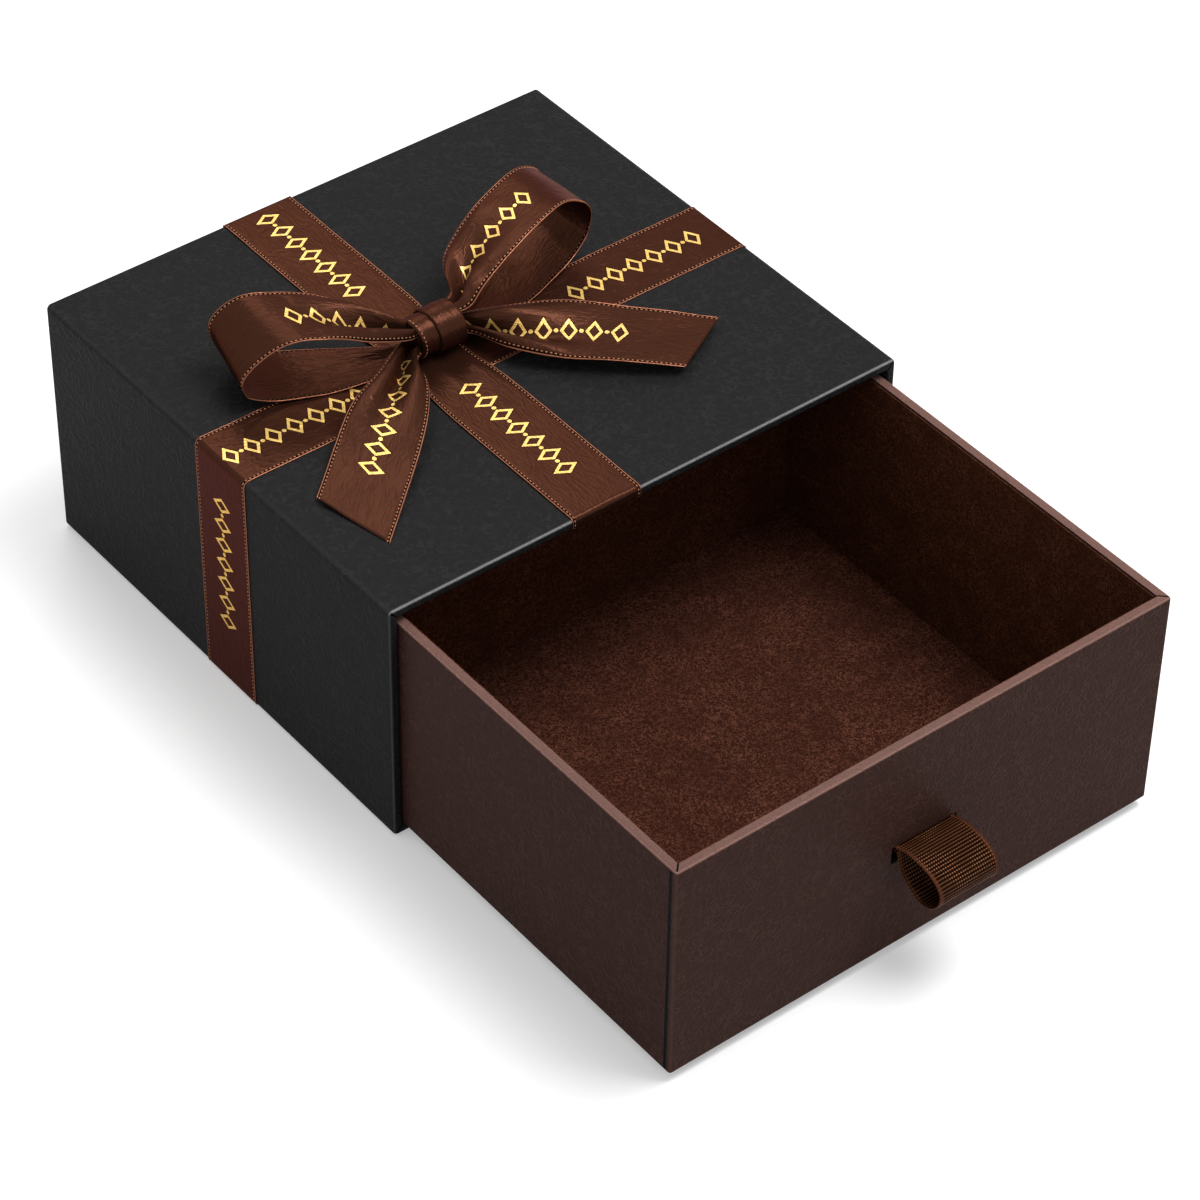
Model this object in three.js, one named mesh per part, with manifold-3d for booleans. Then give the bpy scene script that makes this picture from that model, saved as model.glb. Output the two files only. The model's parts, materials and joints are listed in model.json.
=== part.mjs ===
// A sliding drawer gift box. A rigid board sleeve, closed at the back, holds a lined drawer that
// slides out of its mouth. Two ribbons cross on the sleeve under a tied bow, and a ribbon loop
// pulls the drawer. Millimetres, +Z up, +X to the right across the mouth, drawer out along -Y.
// The origin is on the surface that the box stands on, under the middle of the sleeve.
import * as THREE from "three";
import { mergeVertices } from "three/addons/utils/BufferGeometryUtils.js";
import Module from "manifold-3d";

const wasm = await Module();
wasm.setup();

// Sleeve, measured over its paper.
const sleeveWidth = 380;
const sleeveDepth = 355.6;
const sleeveHeight = 177.8;
const sleeveEdgeRadius = 3.5;

// Board, papers and glue that both boxes are made of.
const boardThick = 4.8;
const coverThick = 0.4;
const liningThick = 0.3;
const stayThick = 0.15;
const stayLeg = 18;
const stayMargin = 10;
const glueLine = 0.1;
const mouthTurnIn = 15;
const backTurnIn = 15;
const backSheetMargin = 3;

// Drawer. Its pull-out is how far it stands open at rest.
const drawerDepth = 335;
const drawerSideClearance = 1.2;
const drawerGlide = 0.5;
const drawerHeadroom = 5.7;
const drawerEdgeRadius = 2;
const drawerPullOut = 250;
const rimTurnIn = 15;
const linerThick = 0.8;
const linerDrop = 1.5;

// Pull loop of grosgrain ribbon, and the slot that its two ends pass through. The pull height is
// that of the slot's top edge over the drawer's underside.
const pullWidth = 44;
const pullThick = 0.8;
const pullReach = 38.5;
const pullDrop = 26;
const pullEndGap = 1.8;
const pullCreaseRadius = 0.3;
const pullHeight = 82;
const pullSteps = 44;
const slotHeight = 13;
const slotEndClearance = 2.4;
const slotTopClearance = 0.3;
const anchorLeg = 25;

// Satin ribbons round the sleeve. The offsets place their middle lines on the lid.
const ribbonWidth = 50.8;
const ribbonThick = 0.5;
const ribbonCreaseRadius = 0.2;
const ribbonTurnIn = 18;
const ribbonTurnUnder = 40;
const ribbonEndGap = 1;
const lengthwiseOffset = -33;
const crosswiseOffset = -10;
const crosswiseSeamOffset = 70;

// Bow. Reaches and sweeps are measured from the middle of the knot, and the knot's offsets from
// the crossing of the two ribbons.
const knotLength = 32;
const knotWidth = 30;
const knotHeight = 30;
const knotSides = 20;
const knotOffsetRight = 4;
const knotOffsetBack = 8;
const seatGap = 0.3;
const leftLoopReach = 121;
const rightLoopReach = 135;
const loopSweep = 42;
const leftLoopRise = 33;
const rightLoopRise = 38;
const tailReach = 131;
const tailSweep = 98;
const tailSlant = 24;
const tailSlantStartShare = 0.6;
const ridgeLeanShare = 0.22;
const leftLoopValley = -0.1;
const rightLoopValley = 0.1;
const frontTailValley = 0.2;
const rightTailValley = -0.2;
const loopSteps = 44;
const tailSteps = 20;
const bandColumns = 9;

const cornerSteps = 5;
const cutOverrun = 2;

// Levels and walls worked out from the sizes above.
const stayGap = stayThick + 2 * glueLine;
const wallThick = 2 * coverThick + stayGap + boardThick + glueLine;
const sleeveBottom = ribbonThick + glueLine;
const sleeveTop = sleeveBottom + sleeveHeight;
const sleeveFront = -sleeveDepth / 2;
const sleeveBack = sleeveDepth / 2;
const boardInset = coverThick + stayGap;
const boardFront = sleeveFront + coverThick + glueLine;
const boardBack = sleeveBack - 2 * (coverThick + glueLine);
const crosswiseTop = sleeveTop + glueLine + ribbonThick;
const lengthwiseTop = crosswiseTop + glueLine + ribbonThick;

const blackPaper = finish("#232324", 0.55);
const plumPaper = finish("#3b2b2a", 0.6);
const greyBoard = finish("#8b8478", 0.95);
const stayPaper = finish("#b79f7c", 0.9);
const liningPaper = finish("#1b1b1c", 0.9);
const suede = finish("#2c150c", 1);
const satin = finish("#4a2a1e", 0.35);
const grosgrain = finish("#5a3422", 0.7);

function finish(color, roughness) {
  return new THREE.MeshStandardMaterial({ color, roughness, metalness: 0 });
}

function part(name, geometry, material) {
  const mesh = new THREE.Mesh(geometry, material);
  mesh.name = name;
  return mesh;
}

// Solids for joins and cuts.
function solidOf(geometry) {
  const bare = geometry.clone();
  bare.deleteAttribute("normal");
  bare.deleteAttribute("uv");
  const merged = mergeVertices(bare);
  return new wasm.Manifold(
    new wasm.Mesh({
      numProp: 3,
      vertProperties: new Float32Array(merged.attributes.position.array),
      triVerts: new Uint32Array(merged.index.array),
    }),
  );
}

function geometryOf(solid) {
  const mesh = solid.getMesh();
  const geometry = new THREE.BufferGeometry();
  geometry.setAttribute("position", new THREE.BufferAttribute(mesh.vertProperties, 3));
  geometry.setIndex(new THREE.BufferAttribute(mesh.triVerts, 1));
  geometry.computeVertexNormals();
  return geometry;
}

function joined(...geometries) {
  return geometryOf(geometries.map(solidOf).reduce((whole, next) => whole.add(next)));
}

function cutFrom(body, ...tools) {
  return geometryOf(tools.map(solidOf).reduce((left, tool) => left.subtract(tool), solidOf(body)));
}

// A rectangle is [low a, high a, low b, high b] in the plane that it is drawn in.
function inset([a0, a1, b0, b1], by) {
  return [a0 + by, a1 - by, b0 + by, b1 - by];
}

function rectanglePath(path, [a0, a1, b0, b1], radii = [0, 0, 0, 0]) {
  const [lowLow, highLow, highHigh, lowHigh] = radii;
  path.moveTo(a0 + lowLow, b0);
  path.lineTo(a1 - highLow, b0);
  if (highLow) path.absarc(a1 - highLow, b0 + highLow, highLow, -Math.PI / 2, 0);
  path.lineTo(a1, b1 - highHigh);
  if (highHigh) path.absarc(a1 - highHigh, b1 - highHigh, highHigh, 0, Math.PI / 2);
  path.lineTo(a0 + lowHigh, b1);
  if (lowHigh) path.absarc(a0 + lowHigh, b1 - lowHigh, lowHigh, Math.PI / 2, Math.PI);
  path.lineTo(a0, b0 + lowLow);
  if (lowLow) path.absarc(a0 + lowLow, b0 + lowLow, lowLow, Math.PI, 1.5 * Math.PI);
  return path;
}

function rectangle(sides, radii) {
  return rectanglePath(new THREE.Shape(), sides, radii);
}

function ring(outer, outerRadii, inner, innerRadii) {
  const shape = rectangle(outer, outerRadii);
  shape.holes.push(rectanglePath(new THREE.Path(), inner, innerRadii));
  return shape;
}

function allCorners(radius) {
  return [radius, radius, radius, radius];
}

function extruded(shape, length) {
  const settings = { depth: length, bevelEnabled: false, curveSegments: cornerSteps };
  return new THREE.ExtrudeGeometry(shape, settings);
}

// A shape drawn in X and Y, carried from one height to another.
function prismZ(shape, z0, z1) {
  return extruded(shape, z1 - z0).translate(0, 0, z0);
}

// A shape drawn in X and Z, carried from the front to the back.
function prismY(shape, y0, y1) {
  return extruded(shape, y1 - y0).rotateX(Math.PI / 2).translate(0, y1, 0);
}

// A shape drawn in Y and Z, carried from the left to the right.
function prismX(shape, x0, x1) {
  const turn = new THREE.Matrix4().makeBasis(
    new THREE.Vector3(0, 1, 0),
    new THREE.Vector3(0, 0, 1),
    new THREE.Vector3(1, 0, 0),
  );
  return extruded(shape, x1 - x0).applyMatrix4(turn).translate(x0, 0, 0);
}

function block(x0, x1, y0, y1, z0, z1) {
  return prismZ(rectangle([x0, x1, y0, y1]), z0, z1);
}

// A strip of even thickness that bends to the left at each corner of its inner line. Its
// thickness lies on the right of the line, and each corner has its own inner radius.
function bentStrip(corners, radii, thick) {
  const points = corners.map(([a, b]) => new THREE.Vector2(a, b));
  const rightOf = (d) => new THREE.Vector2(d.y, -d.x);
  const heading = (i) => points[i + 1].clone().sub(points[i]).normalize();
  const inner = [points[0].clone()];
  const outer = [points[0].clone().addScaledVector(rightOf(heading(0)), thick)];
  for (let i = 1; i < points.length - 1; i += 1) {
    const radius = radii[i - 1];
    const before = heading(i - 1);
    const start = rightOf(before);
    const bend = Math.acos(before.dot(heading(i)));
    const centre = points[i].clone().addScaledVector(before, -radius * Math.tan(bend / 2));
    centre.addScaledVector(start, -radius);
    for (let k = 0; k <= cornerSteps; k += 1) {
      const normal = start.clone().rotateAround(new THREE.Vector2(), (bend * k) / cornerSteps);
      inner.push(centre.clone().addScaledVector(normal, radius));
      outer.push(centre.clone().addScaledVector(normal, radius + thick));
    }
  }
  const last = points.length - 1;
  inner.push(points[last].clone());
  outer.push(points[last].clone().addScaledVector(rightOf(heading(last - 1)), thick));
  return new THREE.Shape([...inner, ...outer.reverse()]);
}

// Sleeve.
const sleeveRect = [-sleeveWidth / 2, sleeveWidth / 2, sleeveBottom, sleeveTop];
const boardRect = inset(sleeveRect, boardInset);
const boardEdgeRadius = sleeveEdgeRadius - boardInset;
const innerBoardRect = inset(boardRect, boardThick);
const backBoardFront = boardBack - boardThick;

function sleeveBoards() {
  const [x0, x1, z0, z1] = boardRect;
  const [, , innerZ0, innerZ1] = innerBoardRect;
  const [endX0, endX1, endZ0, endZ1] = inset(innerBoardRect, glueLine);
  const rounded = boardEdgeRadius;
  const side = (from, to) => block(from, to, boardFront, boardBack, endZ0, endZ1);
  const topShape = rectangle([x0, x1, innerZ1, z1], [0, 0, rounded, rounded]);
  const bottomShape = rectangle([x0, x1, z0, innerZ0], [rounded, rounded, 0, 0]);
  return [
    part("sleeve_top_board", prismY(topShape, boardFront, boardBack), greyBoard),
    part("sleeve_bottom_board", prismY(bottomShape, boardFront, boardBack), greyBoard),
    part("sleeve_left_board", side(x0, x0 + boardThick), greyBoard),
    part("sleeve_right_board", side(x1 - boardThick, x1), greyBoard),
    part(
      "sleeve_back_board",
      block(endX0, endX1, backBoardFront, boardBack, endZ0, endZ1),
      greyBoard,
    ),
  ];
}

// Paper tape folded round each long corner of the boards, under the cover.
function cornerStrips([a0, a1, b0, b1], edgeRadius) {
  const line = [a0 - glueLine, a1 + glueLine, b0 - glueLine, b1 + glueLine];
  const [left, right, low, high] = line;
  const radii = [edgeRadius + glueLine];
  return [
    bentStrip([[left, low + stayLeg], [left, low], [left + stayLeg, low]], radii, stayThick),
    bentStrip([[right - stayLeg, low], [right, low], [right, low + stayLeg]], radii, stayThick),
    bentStrip([[right, high - stayLeg], [right, high], [right - stayLeg, high]], radii, stayThick),
    bentStrip([[left + stayLeg, high], [left, high], [left, high - stayLeg]], radii, stayThick),
  ];
}

function sleeveStays() {
  const names = ["bottom_left", "bottom_right", "top_right", "top_left"];
  const from = boardFront + stayMargin;
  const to = boardBack - stayMargin;
  return cornerStrips(boardRect, boardEdgeRadius).map((shape, i) =>
    part("sleeve_stay_" + names[i], prismY(shape, from, to), stayPaper),
  );
}

// One sheet round the four sides, folded over the mouth's edges to the inside, and over the
// edges of the back board.
function sleeveWrap() {
  const skinRadii = allCorners(sleeveEdgeRadius);
  const innerRadii = allCorners(sleeveEdgeRadius - coverThick);
  const skinInner = inset(sleeveRect, coverThick);
  const mouth = inset(sleeveRect, wallThick);
  const wrapBack = boardBack + glueLine + coverThick;
  const foldDepth = coverThick + backTurnIn;
  return joined(
    prismY(ring(sleeveRect, skinRadii, skinInner, innerRadii), sleeveFront, wrapBack),
    prismY(ring(sleeveRect, skinRadii, mouth), sleeveFront, sleeveFront + coverThick),
    prismY(ring(inset(mouth, -coverThick), undefined, mouth), sleeveFront, sleeveFront + mouthTurnIn),
    prismY(
      ring(sleeveRect, skinRadii, inset(sleeveRect, foldDepth)),
      wrapBack - coverThick,
      wrapBack,
    ),
  );
}

function sleeveBackSheet() {
  const sheet = rectangle(inset(sleeveRect, backSheetMargin));
  return prismY(sheet, sleeveBack - coverThick, sleeveBack);
}

const liningRect = inset(innerBoardRect, glueLine);
const liningBack = backBoardFront - glueLine;

function sleeveLinings() {
  const inner = inset(liningRect, liningThick);
  const from = sleeveFront + mouthTurnIn + glueLine;
  const tube = prismY(ring(liningRect, undefined, inner), from, liningBack);
  const endShape = rectangle(inset(inner, glueLine));
  const end = prismY(endShape, liningBack - liningThick, liningBack);
  return [part("sleeve_lining", tube, liningPaper), part("sleeve_back_lining", end, liningPaper)];
}

// Ribbons. The crosswise one goes right round, under the lengthwise one on the lid.
function crosswiseRibbon() {
  const [x0, x1, z0, z1] = inset(sleeveRect, -glueLine);
  const seam = crosswiseSeamOffset;
  const line = [[seam, z0], [x1, z0], [x1, z1], [x0, z1], [x0, z0], [seam - ribbonEndGap, z0]];
  const shape = bentStrip(line, allCorners(sleeveEdgeRadius + glueLine), ribbonThick);
  const from = crosswiseOffset - ribbonWidth / 2;
  return prismY(shape, from, from + ribbonWidth);
}

// From under the back edge, up the back, along the lid, and over the mouth's edge to the inside.
function lengthwiseRibbon() {
  const low = sleeveBottom - glueLine;
  const high = crosswiseTop + glueLine;
  const front = sleeveFront - glueLine;
  const back = sleeveBack + glueLine;
  const ceiling = sleeveTop - wallThick - glueLine;
  const line = [
    [back - ribbonTurnUnder, low],
    [back, low],
    [back, high],
    [front, high],
    [front, ceiling],
    [front + ribbonTurnIn, ceiling],
  ];
  const shape = bentStrip(line, allCorners(ribbonCreaseRadius), ribbonThick);
  const from = lengthwiseOffset - ribbonWidth / 2;
  return prismX(shape, from, from + ribbonWidth);
}

// Bow. Each band is a grid of points: rows run along the ribbon, columns across it. A table row
// holds, as shares of the named sizes, the reach, the sweep, the height over or under the knot's
// middle, the half width and how much of the gather goes into the fold, then the direction across
// the ribbon.
const knotMiddle = lengthwiseTop + seatGap + knotHeight / 2;
const bedDrop = knotMiddle - crosswiseTop - seatGap - ribbonThick / 2;

const leftLoopShares = [
  [0, 0.05, 0.24, 0.33, 0.4, 0, 1, 0.3],
  [0.06, 0.05, 0.26, 0.36, 0.7, 0, 1, 0.3],
  [0.27, 0.32, 0.56, 0.74, 0.9, 0.05, 1, 0.2],
  [0.55, 0.58, 0.93, 0.99, 0.5, 0.05, 1, 0.06],
  [0.82, 0.84, 0.95, 1, 0, 0.1, 1, 0.12],
  [1, 1, 0.36, 1, 0, 0.2, 1, 0.2],
  [0.86, 0.93, -0.52, 1, 0, 0.1, 1, 0.12],
  [0.58, 0.68, -0.93, 1, 0, 0, 1, 0.03],
  [0.27, 0.33, -0.88, 0.72, -0.1, 0.05, 1, 0],
  [0.06, 0.05, -0.6, 0.36, -0.25, 0, 1, 0],
  [0, 0.05, -0.6, 0.33, -0.25, 0, 1, 0],
];
const rightLoopShares = [
  [0, 0.05, 0.25, 0.33, 0.4, 0, 1, -0.15],
  [0.06, 0.05, 0.29, 0.42, 0.65, 0, 1, -0.15],
  [0.19, 0.4, 0.5, 0.88, 0.9, 0, 1, -0.15],
  [0.5, 0.66, 0.88, 0.99, 0.6, 0, 1, -0.1],
  [0.81, 0.88, 0.95, 1, 0, 0, 1, -0.08],
  [1, 1, 0.4, 1, 0, 0, 1, -0.05],
  [0.87, 0.92, -0.5, 1, 0, 0, 1, 0],
  [0.58, 0.68, -0.9, 1, 0, 0, 1, 0],
  [0.27, 0.33, -0.86, 0.72, -0.1, 0, 1, 0],
  [0.06, 0.05, -0.6, 0.36, -0.25, 0, 1, 0],
  [0, 0.05, -0.6, 0.33, -0.25, 0, 1, 0],
];
const frontTailShares = [
  [0, 0.06, -0.25, 0.3, 0.35, 0, 1, 0.2],
  [0.05, 0.06, -0.25, 0.34, 0.5, -0.1, 1, 0.2],
  [0.2, 0.26, -0.1, 0.6, 0.75, -0.55, 0.8, 0.15],
  [0.42, 0.46, -0.22, 0.92, 0.6, -0.6, 0.8, 0.08],
  [0.7, 0.73, -0.62, 1, 0, -0.6, 0.8, 0.02],
  [1, 1.02, -0.97, 1, 0, -0.6, 0.8, 0],
];
const rightTailShares = [
  [0, 0.06, -0.16, 0.3, 0.35, 0, 1, 0.2],
  [0.05, 0.06, -0.16, 0.34, 0.5, 0.1, 1, 0.25],
  [0.2, 0.26, -0.04, 0.64, 0.85, 0.55, 0.8, 0.25],
  [0.42, 0.46, -0.12, 0.95, 0.8, 0.58, 0.81, 0.15],
  [0.7, 0.73, -0.3, 1, 0, 0.58, 0.81, 0.06],
  [1, 1, -0.7, 1, 0, 0.58, 0.81, 0.03],
];

// The point of a smooth curve through the table's rows, column by column.
function rowAt(rows, t) {
  const place = t * (rows.length - 1);
  const i = Math.min(Math.floor(place), rows.length - 2);
  const f = place - i;
  return rows[i].map((b, column) => {
    const c = rows[i + 1][column];
    const a = i ? rows[i - 1][column] : 2 * b - c;
    const d = i + 2 < rows.length ? rows[i + 2][column] : 2 * c - b;
    const bend = 2 * a - 5 * b + 4 * c - d;
    return b + 0.5 * f * (c - a + f * (bend + f * (3 * b - a - 3 * c + d)));
  });
}

// A grid of points given a thickness, as one closed body.
function thickened(grid, thick) {
  const rows = grid.length;
  const columns = grid[0].length;
  const along = (i, j) =>
    grid[Math.min(i + 1, rows - 1)][j].clone().sub(grid[Math.max(i - 1, 0)][j]);
  const across = (i, j) =>
    grid[i][Math.min(j + 1, columns - 1)].clone().sub(grid[i][Math.max(j - 1, 0)]);
  const positions = [];
  for (const side of [1, -1]) {
    for (let i = 0; i < rows; i += 1) {
      for (let j = 0; j < columns; j += 1) {
        const normal = along(i, j).cross(across(i, j)).normalize();
        positions.push(...grid[i][j].clone().addScaledVector(normal, (side * thick) / 2));
      }
    }
  }
  const index = [];
  const quad = (a, b, c, d) => index.push(a, b, c, a, c, d);
  const at = (layer, i, j) => (layer * rows + i) * columns + j;
  for (let i = 0; i < rows - 1; i += 1) {
    for (let j = 0; j < columns - 1; j += 1) {
      quad(at(0, i, j), at(0, i + 1, j), at(0, i + 1, j + 1), at(0, i, j + 1));
      quad(at(1, i, j), at(1, i, j + 1), at(1, i + 1, j + 1), at(1, i + 1, j));
    }
    quad(at(0, i, 0), at(1, i, 0), at(1, i + 1, 0), at(0, i + 1, 0));
    const j = columns - 1;
    quad(at(0, i, j), at(0, i + 1, j), at(1, i + 1, j), at(1, i, j));
  }
  for (let j = 0; j < columns - 1; j += 1) {
    quad(at(0, 0, j), at(0, 0, j + 1), at(1, 0, j + 1), at(1, 0, j));
    const i = rows - 1;
    quad(at(0, i, j), at(1, i, j), at(1, i, j + 1), at(0, i, j + 1));
  }
  const geometry = new THREE.BufferGeometry();
  geometry.setAttribute("position", new THREE.Float32BufferAttribute(positions, 3));
  geometry.setIndex(index);
  geometry.computeVertexNormals();
  return geometry;
}

// The heading at a row is taken between two points, this share of a step before and after it.
const nearbyShare = 0.05;

// side is -1 for a band to the left of the knot and 1 for one to its right. What the gather takes
// from the width goes into a valley, at the given place across, and a ridge on either side of it.
// The ridges lean towards the valley.
function bowBand(shares, side, reach, sweep, rise, slant, steps, valley) {
  const root = knotLength / 2 + seatGap;
  const place = ([a, b, c]) =>
    new THREE.Vector3(side * (root + a * (reach - root)), b * sweep, c * (c > 0 ? rise : bedDrop));
  const grid = [];
  for (let i = 0; i <= steps; i += 1) {
    const row = rowAt(shares, i / steps);
    const next = rowAt(shares, Math.min((i + nearbyShare) / steps, 1));
    const last = rowAt(shares, Math.max((i - nearbyShare) / steps, 0));
    const heading = place(next).sub(place(last)).normalize();
    const across = new THREE.Vector3(row[5], row[6], row[7]).normalize();
    const normal = heading.clone().cross(across).normalize().multiplyScalar(-side);
    const gather = Math.min(row[3], 1);
    const halfWidth = (gather * ribbonWidth) / 2;
    const depth = (row[4] * ribbonWidth * Math.sqrt(1 - gather * gather)) / 6;
    const slanted = Math.max(0, (i / steps - tailSlantStartShare) / (1 - tailSlantStartShare));
    const points = Array.from({ length: bandColumns }, (_, j) => {
      const u = (2 * j) / (bandColumns - 1) - 1;
      const v = (u - valley) / (u > valley ? 1 - valley : 1 + valley);
      const lean = ridgeLeanShare * depth * Math.sin(Math.PI * v);
      const point = place(row).addScaledVector(across, u * halfWidth - lean);
      point.addScaledVector(normal, depth * Math.cos(1.5 * Math.PI * v));
      return point.addScaledVector(heading, u * slant * slanted);
    });
    grid.push(side > 0 ? points : points.reverse());
  }
  return thickened(grid, ribbonThick);
}

// The knot: two turns of ribbon round the gathered middle, the right one over the left one.
const knotShares = [
  [0, -0.5], [0.62, -0.5], [0.84, -0.47], [0.88, -0.42], [0.88, -0.06], [0.84, -0.02],
  [0.96, 0], [1, 0.05], [1, 0.4], [0.94, 0.47], [0.68, 0.5], [0, 0.5],
];

function knot() {
  const profile = knotShares.map(([radius, along]) => new THREE.Vector2(radius, along));
  const turned = new THREE.LatheGeometry(profile, knotSides).rotateZ(-Math.PI / 2);
  return turned.scale(knotLength, knotWidth / 2, knotHeight / 2);
}

function bow() {
  const group = new THREE.Group();
  group.position.x = lengthwiseOffset + knotOffsetRight;
  group.position.y = crosswiseOffset + knotOffsetBack;
  group.position.z = knotMiddle;
  const left = [leftLoopShares, -1, leftLoopReach, loopSweep, leftLoopRise, 0, loopSteps];
  const right = [rightLoopShares, 1, rightLoopReach, loopSweep, rightLoopRise, 0, loopSteps];
  const front = [frontTailShares, -1, tailReach, -tailSweep, 0, -tailSlant / 2, tailSteps];
  const side = [rightTailShares, 1, tailReach, -tailSweep, 0, tailSlant / 2, tailSteps];
  group.add(
    part("bow_knot", knot(), satin),
    part("bow_loop_left", bowBand(...left, leftLoopValley), satin),
    part("bow_loop_right", bowBand(...right, rightLoopValley), satin),
    part("bow_tail_front", bowBand(...front, frontTailValley), satin),
    part("bow_tail_right", bowBand(...side, rightTailValley), satin),
  );
  return group;
}

// Drawer, drawn as it lies when it is shut.
const drawerBottom = sleeveBottom + wallThick + drawerGlide;
const drawerTop = sleeveTop - wallThick - drawerHeadroom;
const drawerRight = sleeveWidth / 2 - wallThick - drawerSideClearance;
const drawerPlan = [-drawerRight, drawerRight, sleeveFront, sleeveFront + drawerDepth];
const drawerBoardPlan = inset(drawerPlan, boardInset);
const drawerBoardRadius = drawerEdgeRadius - boardInset;
const drawerInnerPlan = inset(drawerBoardPlan, boardThick);
const drawerBoardBottom = drawerBottom + boardInset;
const floorTop = drawerBoardBottom + boardThick;
const slotTop = drawerBottom + pullHeight;
const slotBottom = slotTop - slotHeight;
const pullTop = slotTop - slotTopClearance;
const pullBottom = pullTop - 2 * pullThick - pullEndGap;

function slotCut(y0, y1) {
  const half = pullWidth / 2 + slotEndClearance;
  return block(-half, half, y0 - cutOverrun, y1 + cutOverrun, slotBottom, slotTop);
}

function drawerBoards() {
  const [x0, x1, y0, y1] = drawerBoardPlan;
  const [endX0, endX1, endY0, endY1] = inset(drawerInnerPlan, glueLine);
  const innerFront = y0 + boardThick;
  const innerBack = y1 - boardThick;
  const r = drawerBoardRadius;
  const boardTop = drawerTop - coverThick - glueLine;
  const wall = (shape) => prismZ(shape, drawerBoardBottom, boardTop);
  const frontBoard = cutFrom(
    wall(rectangle([x0, x1, y0, innerFront], [r, r, 0, 0])),
    slotCut(y0, innerFront),
  );
  return [
    part("drawer_front_board", frontBoard, greyBoard),
    part("drawer_back_board", wall(rectangle([x0, x1, innerBack, y1], [0, 0, r, r])), greyBoard),
    part("drawer_left_board", wall(rectangle([x0, x0 + boardThick, endY0, endY1])), greyBoard),
    part("drawer_right_board", wall(rectangle([x1 - boardThick, x1, endY0, endY1])), greyBoard),
    part(
      "drawer_floor_board",
      block(endX0, endX1, endY0, endY1, drawerBoardBottom, floorTop),
      greyBoard,
    ),
  ];
}

function drawerStays() {
  const names = ["front_left", "front_right", "back_right", "back_left"];
  const from = drawerBoardBottom + stayMargin;
  const to = drawerTop - stayMargin;
  return cornerStrips(drawerBoardPlan, drawerBoardRadius).map((shape, i) =>
    part("drawer_stay_" + names[i], prismZ(shape, from, to), stayPaper),
  );
}

// One sheet under the floor and up the four walls, folded over the rim to the inside.
function drawerWrap() {
  const radii = allCorners(drawerEdgeRadius);
  const skinRadii = allCorners(drawerEdgeRadius - coverThick);
  const skinPlan = inset(drawerPlan, coverThick);
  const rimPlan = inset(drawerPlan, wallThick);
  const tray = cutFrom(
    prismZ(rectangle(drawerPlan, radii), drawerBottom, drawerTop),
    prismZ(rectangle(skinPlan, skinRadii), drawerBottom + coverThick, drawerTop + cutOverrun),
  );
  const whole = joined(
    tray,
    prismZ(ring(drawerPlan, radii, rimPlan), drawerTop - coverThick, drawerTop),
    prismZ(ring(inset(rimPlan, -coverThick), undefined, rimPlan), drawerTop - rimTurnIn, drawerTop),
  );
  return cutFrom(whole, slotCut(sleeveFront, sleeveFront + coverThick));
}

// Suede-finished card on the floor and the four walls. The wall cards stand off the boards by
// the ribbon that is glued behind the front one.
function drawerLiners() {
  const floorPlan = inset(drawerInnerPlan, glueLine);
  const linerFloor = floorTop + glueLine + linerThick;
  const [x0, x1, y0, y1] = inset(drawerInnerPlan, pullThick + 2 * glueLine);
  const [endY0, endY1] = [y0 + linerThick + glueLine, y1 - linerThick - glueLine];
  const low = linerFloor + glueLine;
  const high = drawerTop - linerDrop;
  const wall = (a0, a1, b0, b1) => block(a0, a1, b0, b1, low, high);
  return [
    part("liner_floor", block(...floorPlan, floorTop + glueLine, linerFloor), suede),
    part("liner_front", wall(x0, x1, y0, y0 + linerThick), suede),
    part("liner_back", wall(x0, x1, y1 - linerThick, y1), suede),
    part("liner_left", wall(x0, x0 + linerThick, endY0, endY1), suede),
    part("liner_right", wall(x1 - linerThick, x1, endY0, endY1), suede),
  ];
}

// The pull ribbon's two ends, drawn in through the slot. The upper one is glued up the inner face
// of the front board and the lower one down it.
function pullEnds() {
  const face = drawerBoardPlan[2] + boardThick + glueLine;
  const upper = [[sleeveFront, pullTop], [face, pullTop], [face, slotTop + anchorLeg]];
  const lower = [[face, slotBottom - anchorLeg], [face, pullBottom], [sleeveFront, pullBottom]];
  const across = (line) =>
    prismX(bentStrip(line, [pullCreaseRadius], pullThick), -pullWidth / 2, pullWidth / 2);
  return [
    part("pull_end_upper", across(upper), grosgrain),
    part("pull_end_lower", across(lower), grosgrain),
  ];
}

// The loop as it hangs, as shares of the reach out from the drawer and of the drop below the slot's
// top edge. It starts and ends just clear of the drawer's front, in line with the ribbon's ends.
const pullShares = [
  [0.23, -0.07], [0.5, -0.08], [0.74, 0], [0.91, 0.15], [1, 0.36], [0.98, 0.64],
  [0.83, 0.91], [0.6, 1], [0.4, 0.89], [0.23, 0.7], [0.12, 0.49], [0.08, 0.3],
];

function pullLoop() {
  const start = sleeveFront - seatGap;
  const upper = pullTop - pullThick / 2;
  const lower = pullBottom + pullThick / 2;
  const straight = 2 * pullThick;
  const line = [[start, upper], [start - straight, upper]];
  line.push(...pullShares.map(([out, drop]) => [start - out * pullReach, pullTop - drop * pullDrop]));
  line.push([start - straight, lower], [start, lower]);
  const curve = new THREE.SplineCurve(line.map(([y, z]) => new THREE.Vector2(y, z)));
  const middle = curve.getSpacedPoints(pullSteps);
  return prismX(stripAlong(middle, pullThick), -pullWidth / 2, pullWidth / 2);
}

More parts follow.
